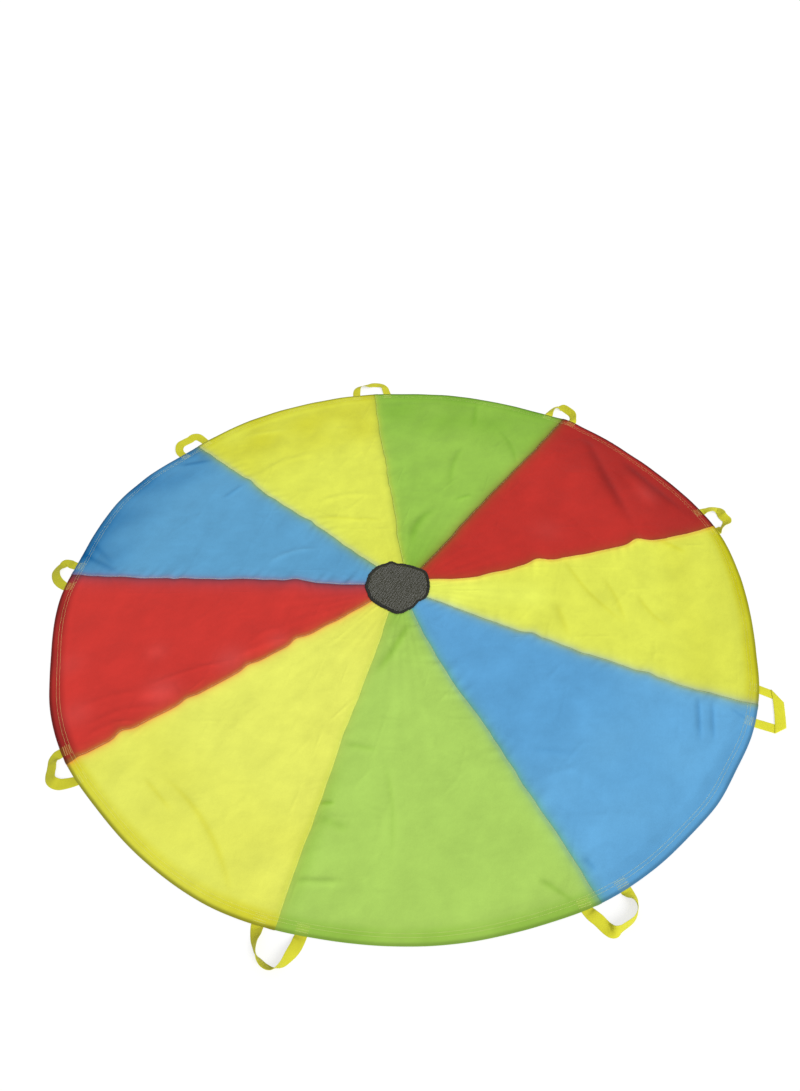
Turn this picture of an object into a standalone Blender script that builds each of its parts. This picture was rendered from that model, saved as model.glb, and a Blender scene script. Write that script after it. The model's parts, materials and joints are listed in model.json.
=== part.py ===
"""Play parachute: nine fabric gores, a net centre and nine webbing handles.

Run with blender --background --python part.py, or from Blender's text editor.

Frame: metres, +Z up. The origin is the centre of the canopy on the ground. The canopy
lies flat, as it is laid out before play. Gores, seams and handles are numbered clockwise
from above, from the seam nearest to +Y.
"""

import math

import bmesh
import bpy
import numpy as np
from mathutils import Matrix, Vector

# Driving sizes, in metres
CANOPY_DIAMETER = 1.83
GORE_COUNT = 9
FIRST_SEAM_DEG = 94.0
CLOTH = 0.0005
CLEAR = 0.0003

# Canopy: turned hem, lapped seams and the gathered band round the centre
HEM_WIDTH = 0.026
HEM_SLOPE = 0.018
SEAM_LAP = 0.010
LAP_SLOPE = 0.003
BAND_WIDTH = 0.009
BAND_STEP = 0.0015

# Centre: woven net under a black binding
CENTRE_DIAMETER = 0.176
BINDING_WIDTH = 0.010
BINDING_THICK = 0.0010
NET_INSET = 0.0035
NET_THICK = 0.0004
NET_PITCH = 0.0086
NET_BAR = 0.0013
NET_BORDER = 0.0035
LEAST_HOLE_SHARE = 0.12

# Handles: webbing loops whose ends are sewn under the hem
WEB_WIDTH = 0.025
WEB_THICK = 0.0012
LEG_SPACING = 0.090
HANDLE_REACH = 0.066
HANDLE_SHIFT = 0.012
SEWN_LENGTH = 0.022
HINGE_GAP = 0.0004
FOLDED_HANDLES = (4, 7, 9)
FOLD_GAP = 0.0003
ROLL_DEG = 40.0
TURN_RADIUS = 0.030

# Sewing threads, each row a flat line of thread
THREAD_WIDTH = 0.0007
THREAD_THICK = 0.0003
HEM_ROW_INSET = 0.0165
HEM_ROW_SPACING = 0.007
SEAM_ROW_MARGIN = 0.004

# Mesh fineness, as counts
GORE_COLUMNS = 10
OPEN_ROWS = 3
HEM_STEPS = 117
RING_STEPS = 72
ARC_STEPS = 6
FOLD_STEPS = 4
RUN_STEPS = 3

# Sizes that follow
RIM_RADIUS = CANOPY_DIAMETER / 2
CENTRE_RADIUS = CENTRE_DIAMETER / 2
BAND_THICK = CLOTH + CLEAR + CLOTH
LAP_RISE = CLOTH + CLEAR
LAP_REACH = SEAM_LAP / 2
LAP_INSIDE = LAP_REACH + 2 * CLEAR
HEM_BOTTOM = WEB_THICK + CLEAR
HEM_TOP = HEM_BOTTOM + BAND_THICK
BINDING_INNER = CENTRE_RADIUS - BINDING_WIDTH
NET_RADIUS = BINDING_INNER + NET_INSET
GORE_INNER = NET_RADIUS + 2 * CLEAR
BAND_OUTER = GORE_INNER + BAND_WIDTH
HEM_INNER = RIM_RADIUS - HEM_WIDTH
BINDING_BOTTOM = BAND_THICK + CLEAR
BINDING_TOP = BINDING_BOTTOM + BINDING_THICK
HINGE_HEIGHT = (HEM_BOTTOM + HEM_TOP) / 2
GORE_TURN = 2 * math.pi / GORE_COUNT

# Colours, as they read on the object (red, green, blue out of 255)
YELLOW = (226, 235, 90)
GREEN = (146, 203, 82)
RED = (200, 48, 44)
BLUE = (84, 156, 216)
NET_GREY = (70, 69, 66)
BINDING_BLACK = (34, 34, 33)
WEBBING_YELLOW = (224, 220, 44)
THREAD_LIME = (206, 222, 74)
THREAD_BLACK = (52, 52, 50)
GORE_COLOURS = ("green", "red", "yellow", "blue", "green", "yellow", "red", "blue", "yellow")


# Scene and materials

def clear_scene():
    """Remove every object of the open scene."""
    for old in list(bpy.data.objects):
        bpy.data.objects.remove(old, do_unlink=True)


def linear(channel):
    """Turn a display colour value out of 255 into Blender's linear value."""
    share = channel / 255
    if share <= 0.04045:
        return share / 12.92
    return ((share + 0.055) / 1.055) ** 2.4


def make_material(name, colour, roughness):
    """Make a plain Principled material of one colour."""
    material = bpy.data.materials.new(name)
    material.use_nodes = True
    shader = material.node_tree.nodes["Principled BSDF"]
    rgba = tuple(linear(channel) for channel in colour) + (1.0,)
    shader.inputs["Base Color"].default_value = rgba
    shader.inputs["Roughness"].default_value = roughness
    shader.inputs["Metallic"].default_value = 0.0
    material.diffuse_color = rgba
    return material


def make_materials():
    """Make the fabric, net, webbing and thread materials."""
    return {
        "yellow": make_material("yellow_taffeta", YELLOW, 0.55),
        "green": make_material("green_taffeta", GREEN, 0.55),
        "red": make_material("red_taffeta", RED, 0.55),
        "blue": make_material("blue_taffeta", BLUE, 0.55),
        "net": make_material("black_net", NET_GREY, 0.85),
        "binding": make_material("black_binding", BINDING_BLACK, 0.8),
        "webbing": make_material("yellow_webbing", WEBBING_YELLOW, 0.75),
        "thread": make_material("lime_thread", THREAD_LIME, 0.6),
        "black_thread": make_material("black_thread", THREAD_BLACK, 0.6),
    }


# Places

def seam_angle(number):
    """Give the angle of a seam about +Z, from +X, for the seam's number."""
    return math.radians(FIRST_SEAM_DEG) - GORE_TURN * (number - 1)


def place_at_rim(number):
    """Add the empty that carries a handle: at the rim near its seam, +Y outwards.

    The handle straddles the seam, its middle a little way anticlockwise of it.
    """
    angle = seam_angle(number) + HANDLE_SHIFT / RIM_RADIUS
    place = bpy.data.objects.new(f"handle_{number}_place", None)
    place.location = (RIM_RADIUS * math.cos(angle), RIM_RADIUS * math.sin(angle), 0.0)
    place.rotation_euler = (0.0, 0.0, angle - math.pi / 2)
    bpy.context.collection.objects.link(place)
    return place


def add_object(name, mesh, material, location=(0.0, 0.0, 0.0), turn=0.0, parent=None):
    """Add a named object that shows a mesh, at its place under its parent."""
    if not mesh.materials:
        mesh.materials.append(material)
    piece = bpy.data.objects.new(name, mesh)
    piece.location = location
    piece.rotation_euler = (0.0, 0.0, turn)
    piece.parent = parent
    bpy.context.collection.objects.link(piece)
    return piece


# Mesh builders

def mesh_from(name, points, faces):
    """Make a smooth shaded mesh whose faces point outwards."""
    mesh = bpy.data.meshes.new(name)
    mesh.from_pydata([tuple(point) for point in points], [], faces)
    work = bmesh.new()
    work.from_mesh(mesh)
    bmesh.ops.recalc_face_normals(work, faces=work.faces)
    work.to_mesh(mesh)
    work.free()
    mesh.shade_smooth()
    mesh.set_sharp_from_angle(angle=math.radians(30))
    return mesh


def slab_mesh(name, plan, low, high):
    """Close the space between two height grids over one plan grid.

    plan holds x and y at each row and column. low and high hold the heights of the
    under and the upper side at the same places.
    """
    rows, columns = low.shape
    under = np.dstack([plan, low]).reshape(-1, 3)
    upper = np.dstack([plan, high]).reshape(-1, 3)
    index = np.arange(rows * columns).reshape(rows, columns)
    faces = []
    for row in range(rows - 1):
        for column in range(columns - 1):
            cell = (
                index[row, column],
                index[row, column + 1],
                index[row + 1, column + 1],
                index[row + 1, column],
            )
            faces.append(tuple(int(corner) for corner in cell))
            faces.append(tuple(int(corner) + rows * columns for corner in reversed(cell)))
    border = list(index[0, :-1]) + list(index[:-1, -1])
    border += list(index[-1, :0:-1]) + list(index[:0:-1, 0])
    for first, second in zip(border, border[1:] + border[:1]):
        side = (first, second, second + rows * columns, first + rows * columns)
        faces.append(tuple(int(corner) for corner in side))
    return mesh_from(name, np.vstack([under, upper]), faces)


def ribbon_mesh(name, middles, across, normals, width, thick, closed=False):
    """Carry a flat rectangular section along a line of points.

    middles are the section centres, across the vectors along the width, and normals
    those along the thickness. Across is longer than one unit where the section is
    taken at a slant, as it is at a diagonal fold.
    """
    half_width = across * (width / 2)
    half_thick = normals * (thick / 2)
    rings = np.stack(
        [
            middles - half_width - half_thick,
            middles + half_width - half_thick,
            middles + half_width + half_thick,
            middles - half_width + half_thick,
        ],
        axis=1,
    )
    count = len(middles)
    faces = []
    for step in range(count if closed else count - 1):
        after = (step + 1) % count
        for corner in range(4):
            following = (corner + 1) % 4
            faces.append(
                (
                    4 * step + corner,
                    4 * step + following,
                    4 * after + following,
                    4 * after + corner,
                )
            )
    if not closed:
        last = 4 * (count - 1)
        faces.append((0, 1, 2, 3))
        faces.append((last, last + 1, last + 2, last + 3))
    return mesh_from(name, rings.reshape(-1, 3), faces)


def ring_mesh(name, inner, outer, low, high, steps=RING_STEPS):
    """Make a flat ring between two radii and two heights."""
    turns = np.linspace(0.0, 2 * math.pi, steps, endpoint=False)
    radial = np.stack([np.cos(turns), np.sin(turns), 0 * turns], axis=1)
    middles = radial * ((inner + outer) / 2) + np.array([0.0, 0.0, (low + high) / 2])
    upwards = np.tile([0.0, 0.0, 1.0], (steps, 1))
    return ribbon_mesh(name, middles, radial, upwards, outer - inner, high - low, closed=True)


# Gores

def gore_rows():
    """Give the radius, the ground height and the thickness of each row of a gore."""
    open_start = BAND_OUTER + BAND_STEP
    open_end = HEM_INNER - HEM_SLOPE
    rows = [
        (GORE_INNER, 0.0, BAND_THICK),
        (BAND_OUTER, 0.0, BAND_THICK),
    ]
    for radius in np.linspace(open_start, open_end, OPEN_ROWS):
        rows.append((float(radius), 0.0, CLOTH))
    rows.append((HEM_INNER, HEM_BOTTOM, CLOTH))
    rows.append((HEM_INNER + BAND_STEP, HEM_BOTTOM, BAND_THICK))
    rows.append((RIM_RADIUS, HEM_BOTTOM, BAND_THICK))
    return rows


def gore_columns(radius):
    """Give the angles of a row's points from the gore's first seam, clockwise.

    The first and last three columns keep a fixed distance from the two seams: the
    lapped edge past the seam, the inside of the lap, and the foot of its slope.
    """
    edge, inside, foot = (
        math.asin(offset / radius)
        for offset in (-LAP_REACH, LAP_INSIDE, LAP_INSIDE + LAP_SLOPE)
    )
    middle = np.linspace(foot, GORE_TURN - foot, GORE_COLUMNS)
    first = [edge, inside]
    last = [GORE_TURN - inside, GORE_TURN - edge]
    return np.concatenate([first, middle, last])


def gore_mesh(number):
    """Make one gore: over its neighbour at its first seam, and under at its last."""
    rows = gore_rows()
    count = GORE_COLUMNS + 4
    plan = np.zeros((len(rows), count, 2))
    low = np.zeros((len(rows), count))
    high = np.zeros((len(rows), count))
    for row, (radius, ground, thick) in enumerate(rows):
        turns = seam_angle(number) - gore_columns(radius)
        plan[row, :, 0] = radius * np.cos(turns)
        plan[row, :, 1] = radius * np.sin(turns)
        low[row] = ground
        high[row] = ground + thick
        low[row, :2] = ground + LAP_RISE
        high[row, :2] = ground + LAP_RISE + CLOTH
        high[row, -2:] = ground + CLOTH
    return slab_mesh(f"gore_{number}", plan, low, high)


def add_gores(materials):
    """Add the nine gores, each with its turned hem and its lapped edges."""
    for number, colour in enumerate(GORE_COLOURS, start=1):
        name = f"gore_{number}_{colour}"
        add_object(name, gore_mesh(number), materials[colour])


# Centre

def cut_by_circle(corners, radius, sides):
    """Cut a convex outline by a regular many-sided figure of this inner radius."""
    for side in range(sides):
        turn = 2 * math.pi * side / sides
        normal = np.array([math.cos(turn), math.sin(turn)])
        kept = []
        for here, after in zip(corners, corners[1:] + corners[:1]):
            depth = radius - float(normal @ here)
            next_depth = radius - float(normal @ after)
            if depth >= 0:
                kept.append(here)
            if (depth >= 0) != (next_depth >= 0):
                share = depth / (depth - next_depth)
                kept.append(here + (after - here) * share)
        corners = kept
        if len(corners) < 3:
            return []
    return corners


def outline_area(corners):
    """Give the area inside an outline."""
    x = np.array([corner[0] for corner in corners])
    y = np.array([corner[1] for corner in corners])
    return abs(float(np.sum(x * np.roll(y, -1) - y * np.roll(x, -1)))) / 2


def net_holes():
    """Give the outline of each gap of the net, cut where it meets the border."""
    reach = NET_RADIUS - NET_BORDER
    half_count = math.ceil(reach / NET_PITCH)
    half_hole = (NET_PITCH - NET_BAR) / 2
    full = (2 * half_hole) ** 2
    holes = []
    for column in range(-half_count, half_count):
        for row in range(-half_count, half_count):
            centre = np.array([column + 0.5, row + 0.5]) * NET_PITCH
            square = [
                centre + half_hole * np.array(corner)
                for corner in ((-1, -1), (1, -1), (1, 1), (-1, 1))
            ]
            outline = cut_by_circle(square, reach, RING_STEPS)
            if outline and outline_area(outline) > LEAST_HOLE_SHARE * full:
                holes.append(outline)
    return holes


def net_mesh():
    """Make the net: a thin round sheet with a square gap between each pair of bars."""
    work = bmesh.new()
    turns = np.linspace(0.0, 2 * math.pi, RING_STEPS, endpoint=False)
    border = [NET_RADIUS * np.array([math.cos(turn), math.sin(turn)]) for turn in turns]
    edges = []
    for outline in [border] + net_holes():
        ring = [work.verts.new((point[0], point[1], 0.0)) for point in outline]
        for here, after in zip(ring, ring[1:] + ring[:1]):
            edges.append(work.edges.new((here, after)))
    bmesh.ops.triangle_fill(work, use_beauty=True, edges=edges, normal=(0.0, 0.0, 1.0))
    lower = list(work.faces)
    raised = bmesh.ops.extrude_face_region(work, geom=lower, use_keep_orig=True)
    upper = [item for item in raised["geom"] if isinstance(item, bmesh.types.BMVert)]
    bmesh.ops.translate(work, verts=upper, vec=Vector((0.0, 0.0, NET_THICK)))
    bmesh.ops.recalc_face_normals(work, faces=work.faces)
    mesh = bpy.data.meshes.new("centre_net")
    work.to_mesh(mesh)
    work.free()
    return mesh


def add_centre(materials):
    """Add the net, the binding that holds it to the gores, and the binding's thread."""
    net_height = BAND_THICK - NET_THICK
    add_object("centre_net", net_mesh(), materials["net"], (0.0, 0.0, net_height))
    binding = ring_mesh(
        "centre_binding", BINDING_INNER, CENTRE_RADIUS, BINDING_BOTTOM, BINDING_TOP
    )
    add_object("centre_binding", binding, materials["binding"])
    row = (GORE_INNER + CENTRE_RADIUS) / 2
    thread_bottom = BINDING_TOP + CLEAR
    thread = ring_mesh(
        "binding_stitching",
        row - THREAD_WIDTH / 2,
        row + THREAD_WIDTH / 2,
        thread_bottom,
        thread_bottom + THREAD_THICK,
    )
    add_object("binding_stitching", thread, materials["black_thread"])


# Handles

def folded_strap():
    """Give the strap of a handle that lies flat, folded across at its two corners.

    The strap runs out from the rim, folds over on a diagonal, crosses on top of its
    own legs, folds again and runs back. Returns its centres, widths and normals.
    """
    half = LEG_SPACING / 2
    lower = WEB_THICK / 2
    bend = (WEB_THICK + FOLD_GAP) / 2
    corner = HANDLE_REACH - WEB_WIDTH / 2
    upwards = np.array([0.0, 0.0, 1.0])
    middles, across, normals = [], [], []
    for side in (-1, 1):
        inwards = np.array([-side, 0.0, 0.0])
        outwards = Vector((side, 1.0, 0.0)).normalized()
        diagonal = np.array([-side, 1.0, 0.0])
        leg = [(np.array([side * half, 0.0, lower]), inwards, upwards)]
        for turn in np.linspace(0.0, math.pi, FOLD_STEPS + 1):
            place = np.array([side * half, corner, lower])
            place = place + np.array(outwards) * (bend * math.sin(turn))
            place = place + upwards * (bend - bend * math.cos(turn))
            normal = upwards * math.cos(turn) - np.array(outwards) * math.sin(turn)
            leg.append((place, diagonal, normal))
        for place, width_way, normal in leg if side < 0 else reversed(leg):
            middles.append(place)
            across.append(width_way)
            normals.append(normal)
    return np.array(middles), np.array(across), np.array(normals)


def rolled_strap():
    """Give the strap of a handle that curves round and rolls up on its inner edge.

    The line of centres is a U with round corners. The strap starts flat, and its
    outer edge rises as it goes round. Returns its centres, widths and normals.
    """
    half = LEG_SPACING / 2
    roll_full = math.radians(ROLL_DEG)
    top = HANDLE_REACH - WEB_WIDTH / 2 * math.cos(roll_full)
    leg = top - TURN_RADIUS
    flat = half - TURN_RADIUS
    points = [(-half, leg * step / RUN_STEPS, 0.0) for step in range(RUN_STEPS)]
    for turn in np.linspace(0.0, math.pi / 2, ARC_STEPS + 1):
        x = -flat - TURN_RADIUS * math.cos(turn)
        points.append((x, leg + TURN_RADIUS * math.sin(turn), turn))
    points += [(-x, y, math.pi - turn) for x, y, turn in reversed(points)]
    heading = np.array([point[2] for point in points])
    place = np.array([point[:2] for point in points])
    steps = np.linalg.norm(np.diff(place, axis=0), axis=1)
    along = np.concatenate([[0.0], np.cumsum(steps)])
    share = np.minimum(along, along[-1] - along) / (leg + TURN_RADIUS)
    share = np.clip(share, 0.0, 1.0)
    roll = roll_full * share * share * (3 - 2 * share)
    upwards = np.array([0.0, 0.0, 1.0])
    outwards = np.stack([-np.cos(heading), np.sin(heading), 0 * heading], axis=1)
    across = outwards * np.cos(roll)[:, None] + upwards * np.sin(roll)[:, None]
    normals = upwards * np.cos(roll)[:, None] - outwards * np.sin(roll)[:, None]
    height = WEB_WIDTH / 2 * np.sin(roll) + WEB_THICK / 2 * np.cos(roll)
    middles = np.column_stack([place, height])
    return middles, across, normals


def handle_mesh(number):
    """Make a handle's free loop, about the line that it swings on."""
    if number in FOLDED_HANDLES:
        middles, across, normals = folded_strap()
    else:
        middles, across, normals = rolled_strap()
    middles = middles - np.array([0.0, 0.0, HINGE_HEIGHT])
    return ribbon_mesh(f"handle_{number}", middles, across, normals, WEB_WIDTH, WEB_THICK)


def sewn_end_mesh():
    """Make the end of a strap that is sewn under the hem, running in from the rim."""
    middles = np.array([[0.0, -SEWN_LENGTH, WEB_THICK / 2], [0.0, 0.0, WEB_THICK / 2]])
    across = np.tile([1.0, 0.0, 0.0], (2, 1))
    upwards = np.tile([0.0, 0.0, 1.0], (2, 1))
    return ribbon_mesh("sewn_end", middles, across, upwards, WEB_WIDTH, WEB_THICK)


def add_handles(materials):
    """Add the nine loops, each on its swing line, and their eighteen sewn ends."""
    sewn_end = sewn_end_mesh()
    for number in range(1, GORE_COUNT + 1):
        place = place_at_rim(number)
        loop_place = (0.0, HINGE_GAP, HINGE_HEIGHT)
        name = f"handle_{number}"
        add_object(name, handle_mesh(number), materials["webbing"], loop_place, parent=place)
        for side, offset in (("left", -LEG_SPACING / 2), ("right", LEG_SPACING / 2)):
            end_name = f"{name}_sewn_end_{side}"
            end_place = (offset, 0.0, 0.0)
            add_object(end_name, sewn_end, materials["webbing"], end_place, parent=place)


# Sewing threads

def add_hem_rows(materials):
    """Add the two rows of thread that run round the hem."""
    bottom = HEM_TOP + CLEAR
    rows = {
        "hem_stitching_outer": RIM_RADIUS - HEM_ROW_INSET,
        "hem_stitching_inner": RIM_RADIUS - HEM_ROW_INSET - HEM_ROW_SPACING,
    }
    for name, radius in rows.items():
        inner = radius - THREAD_WIDTH / 2
        outer = radius + THREAD_WIDTH / 2
        row = ring_mesh(name, inner, outer, bottom, bottom + THREAD_THICK, HEM_STEPS)
        add_object(name, row, materials["thread"])


def add_seam_rows(materials):
    """Add the row of thread that closes each seam, from the centre to the hem."""
    start = max(CENTRE_RADIUS, BAND_OUTER + BAND_STEP) + SEAM_ROW_MARGIN
    end = HEM_INNER - HEM_SLOPE - SEAM_ROW_MARGIN
    height = LAP_RISE + CLOTH + CLEAR + THREAD_THICK / 2
    middles = np.array([[start, 0.0, height], [end, 0.0, height]])
    across = np.tile([0.0, 1.0, 0.0], (2, 1))
    upwards = np.tile([0.0, 0.0, 1.0], (2, 1))
    row = ribbon_mesh("seam_stitching", middles, across, upwards, THREAD_WIDTH, THREAD_THICK)
    for number in range(1, GORE_COUNT + 1):
        add_object(f"seam_stitching_{number}", row, materials["thread"], turn=seam_angle(number))


def main():
    """Build the whole parachute."""
    clear_scene()
    materials = make_materials()
    add_gores(materials)
    add_centre(materials)
    add_handles(materials)
    add_hem_rows(materials)
    add_seam_rows(materials)
    bpy.context.view_layer.update()


main()
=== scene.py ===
"""Looks of the play parachute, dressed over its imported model.

Lengths are metres, and angles are radians unless a name ends in deg. Colours are display
values out of 255. Gores, seams and handles are numbered clockwise from above, from the
seam nearest to +Y, and gore k lies clockwise of seam k. A place beside a seam counts
clockwise from its folded edge. A place of a handle's strap counts sideways along the rim,
anticlockwise from its seam's plain ray, and outwards from the rim.
"""

import json
import logging
import math
from dataclasses import dataclass, field, replace
from enum import Enum

import bpy
import numpy as np
from mathutils import Matrix, Vector


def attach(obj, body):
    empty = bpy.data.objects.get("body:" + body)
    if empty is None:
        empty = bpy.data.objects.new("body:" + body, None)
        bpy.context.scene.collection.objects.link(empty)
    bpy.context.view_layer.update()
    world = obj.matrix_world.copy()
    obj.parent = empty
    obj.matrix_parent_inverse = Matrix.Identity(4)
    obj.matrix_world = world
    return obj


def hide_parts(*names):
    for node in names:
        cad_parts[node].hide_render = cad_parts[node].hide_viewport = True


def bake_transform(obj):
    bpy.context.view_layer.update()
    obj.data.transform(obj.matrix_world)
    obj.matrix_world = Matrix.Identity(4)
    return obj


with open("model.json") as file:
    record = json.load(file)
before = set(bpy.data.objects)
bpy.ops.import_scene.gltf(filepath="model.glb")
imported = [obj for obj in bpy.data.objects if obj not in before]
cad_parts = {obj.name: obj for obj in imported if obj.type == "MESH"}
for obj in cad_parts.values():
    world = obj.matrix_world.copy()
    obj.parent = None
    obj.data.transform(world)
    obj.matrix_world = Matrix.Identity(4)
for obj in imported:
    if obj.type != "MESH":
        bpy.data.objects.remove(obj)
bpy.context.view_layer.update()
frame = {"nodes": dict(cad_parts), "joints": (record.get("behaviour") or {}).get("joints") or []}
LOG = logging.getLogger("parachute")
MM = 0.001
UP = np.array([0.0, 0.0, 1.0])

Socket = bpy.types.NodeSocket
Input = Socket | float


# Curves, noise and meshes

def smoothstep(low: float, high: float, at: np.ndarray) -> np.ndarray:
    """Rise from 0 at low to 1 at high with flat ends: 3 t^2 - 2 t^3 of the share t.

    Args:
        low: Where the rise starts.
        high: Where the rise ends.
        at: Places to read.

    Returns:
        The rise at each place.
    """
    share = np.clip((at - low) / (high - low), 0.0, 1.0)
    return share * share * (3 - 2 * share)


def bell(at: np.ndarray, centre: float, half_width: float) -> np.ndarray:
    """Give exp(-((at - centre) / half_width)^2), a soft hump of height 1."""
    return np.exp(-(((at - centre) / half_width) ** 2))


def turn_between(angle: np.ndarray, centre: float) -> np.ndarray:
    """Give angle - centre, brought between minus half a turn and half a turn."""
    return (angle - centre + math.pi) % (2 * math.pi) - math.pi


def curve_through(knots: np.ndarray, values: np.ndarray, at: np.ndarray) -> np.ndarray:
    """Read a smooth curve through knots: cubic between two, with central slopes.

    Args:
        knots: Rising places of the knots.
        values: A number, or a row of numbers, for each knot.
        at: Places to read.

    Returns:
        The curve's value, or row of values, at each place.
    """
    slopes = np.gradient(values, knots, axis=0)
    cell = np.clip(np.searchsorted(knots, at, side="right") - 1, 0, len(knots) - 2)
    span = knots[cell + 1] - knots[cell]
    share = (at - knots[cell]) / span
    if values.ndim > 1:
        span, share = span[..., None], share[..., None]
    square, cube = share**2, share**3
    near = (2 * cube - 3 * square + 1) * values[cell]
    near = near + (cube - 2 * square + share) * span * slopes[cell]
    far = (3 * square - 2 * cube) * values[cell + 1]
    return near + far + (cube - square) * span * slopes[cell + 1]


@dataclass(frozen=True)
class Ripple:
    """Smooth seeded noise of about one wavelength, mostly between -1 and 1."""

    seed: int
    wavelength: float
    waves: int = 7

    def at(self, x: np.ndarray, y: np.ndarray) -> np.ndarray:
        """Add plane waves that run in many directions, over the root of their count.

        Args:
            x: First place, or the place along a line.
            y: Second place, or 0 along a line.

        Returns:
            The noise at each place.
        """
        total = np.zeros(np.broadcast(x, y).shape)
        draws = np.random.default_rng(self.seed).uniform(size=(self.waves, 3))
        for heading, phase, spread in draws:
            number = 2 * math.pi / (self.wavelength * (0.7 + 0.6 * spread))
            turn = 2 * math.pi * heading
            along = x * math.cos(turn) + y * math.sin(turn)
            total = total + np.sin(number * along + 2 * math.pi * phase)
        return total / math.sqrt(self.waves)


@dataclass(frozen=True)
class Tint:
    """A colour as display values out of 255."""

    red: float
    green: float
    blue: float

    def linear(self) -> np.ndarray:
        """Give the colour's linear red, green and blue, from 0 to 1."""
        share = np.array([self.red, self.green, self.blue]) / 255
        return np.where(share <= 0.04045, share / 12.92, ((share + 0.055) / 1.055) ** 2.4)

    def rgba(self) -> tuple[float, float, float, float]:
        """Give the linear colour with a full alpha."""
        return (*(float(part) for part in self.linear()), 1.0)


def make_piece(name: str, points: np.ndarray, faces: list, finish: bpy.types.Material,
               uv: np.ndarray | None = None) -> bpy.types.Object:
    """Link a smooth shaded mesh object at the origin, with its finish.

    Args:
        name: The piece's name.
        points: Its corners, one row each.
        faces: Corner numbers of each face.
        finish: Its material.
        uv: A place in the cloth's own plane for each corner, in metres.

    Returns:
        The new object.
    """
    mesh = bpy.data.meshes.new(name)
    mesh.from_pydata(points.reshape(-1, 3).tolist(), [], faces)
    mesh.shade_smooth()
    if uv is not None:
        corners = np.zeros(len(mesh.loops), dtype=np.int32)
        mesh.loops.foreach_get("vertex_index", corners)
        layer = mesh.uv_layers.new(name="cut")
        layer.data.foreach_set("uv", uv.reshape(-1, 2)[corners].astype(np.float32).ravel())
    mesh.materials.append(finish)
    piece = bpy.data.objects.new(name, mesh)
    bpy.context.scene.collection.objects.link(piece)
    return piece


def grid_faces(rows: int, columns: int, ring: bool = False, start: int = 0) -> np.ndarray:
    """Number the four corners of each cell of a grid of points.

    Args:
        rows: Points along the first way.
        columns: Points along the second way.
        ring: Whether the last column meets the first.
        start: Number of the grid's first point.

    Returns:
        One row of four corner numbers for each cell.
    """
    index = start + np.arange(rows * columns).reshape(rows, columns)
    if ring:
        index = np.concatenate([index, index[:, :1]], axis=1)
    cells = [index[:-1, :-1], index[:-1, 1:], index[1:, 1:], index[1:, :-1]]
    return np.stack(cells, axis=-1).reshape(-1, 4)


def tube_rings(centres: np.ndarray, sides: np.ndarray, ups: np.ndarray,
               outline: np.ndarray) -> np.ndarray:
    """Carry a closed outline along a path: centre + side * x + up * y for each point.

    Args:
        centres: The path, one row each.
        sides: The outline's x way at each place.
        ups: The outline's y way at each place.
        outline: Its points, anticlockwise seen against the path, x and y each.

    Returns:
        The points, as rings of the outline along the path.
    """
    across = sides[..., None, :] * outline[:, :1]
    upwards = ups[..., None, :] * outline[:, 1:]
    return centres[..., None, :] + across + upwards


def unit(vectors: np.ndarray) -> np.ndarray:
    """Give each vector the length 1."""
    return vectors / np.linalg.norm(vectors, axis=-1, keepdims=True)


def node_reach(node: str) -> float:
    """Give the largest distance of a CAD node's corners from the +Z axis.

    Args:
        node: The node's name.

    Returns:
        The distance.
    """
    vertices = frame["nodes"][node].data.vertices
    corners = np.zeros(len(vertices) * 3, dtype=np.float32)
    vertices.foreach_get("co", corners)
    corners = corners.reshape(-1, 3)
    return float(np.max(np.hypot(corners[:, 0], corners[:, 1])))


# Finishes

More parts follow.
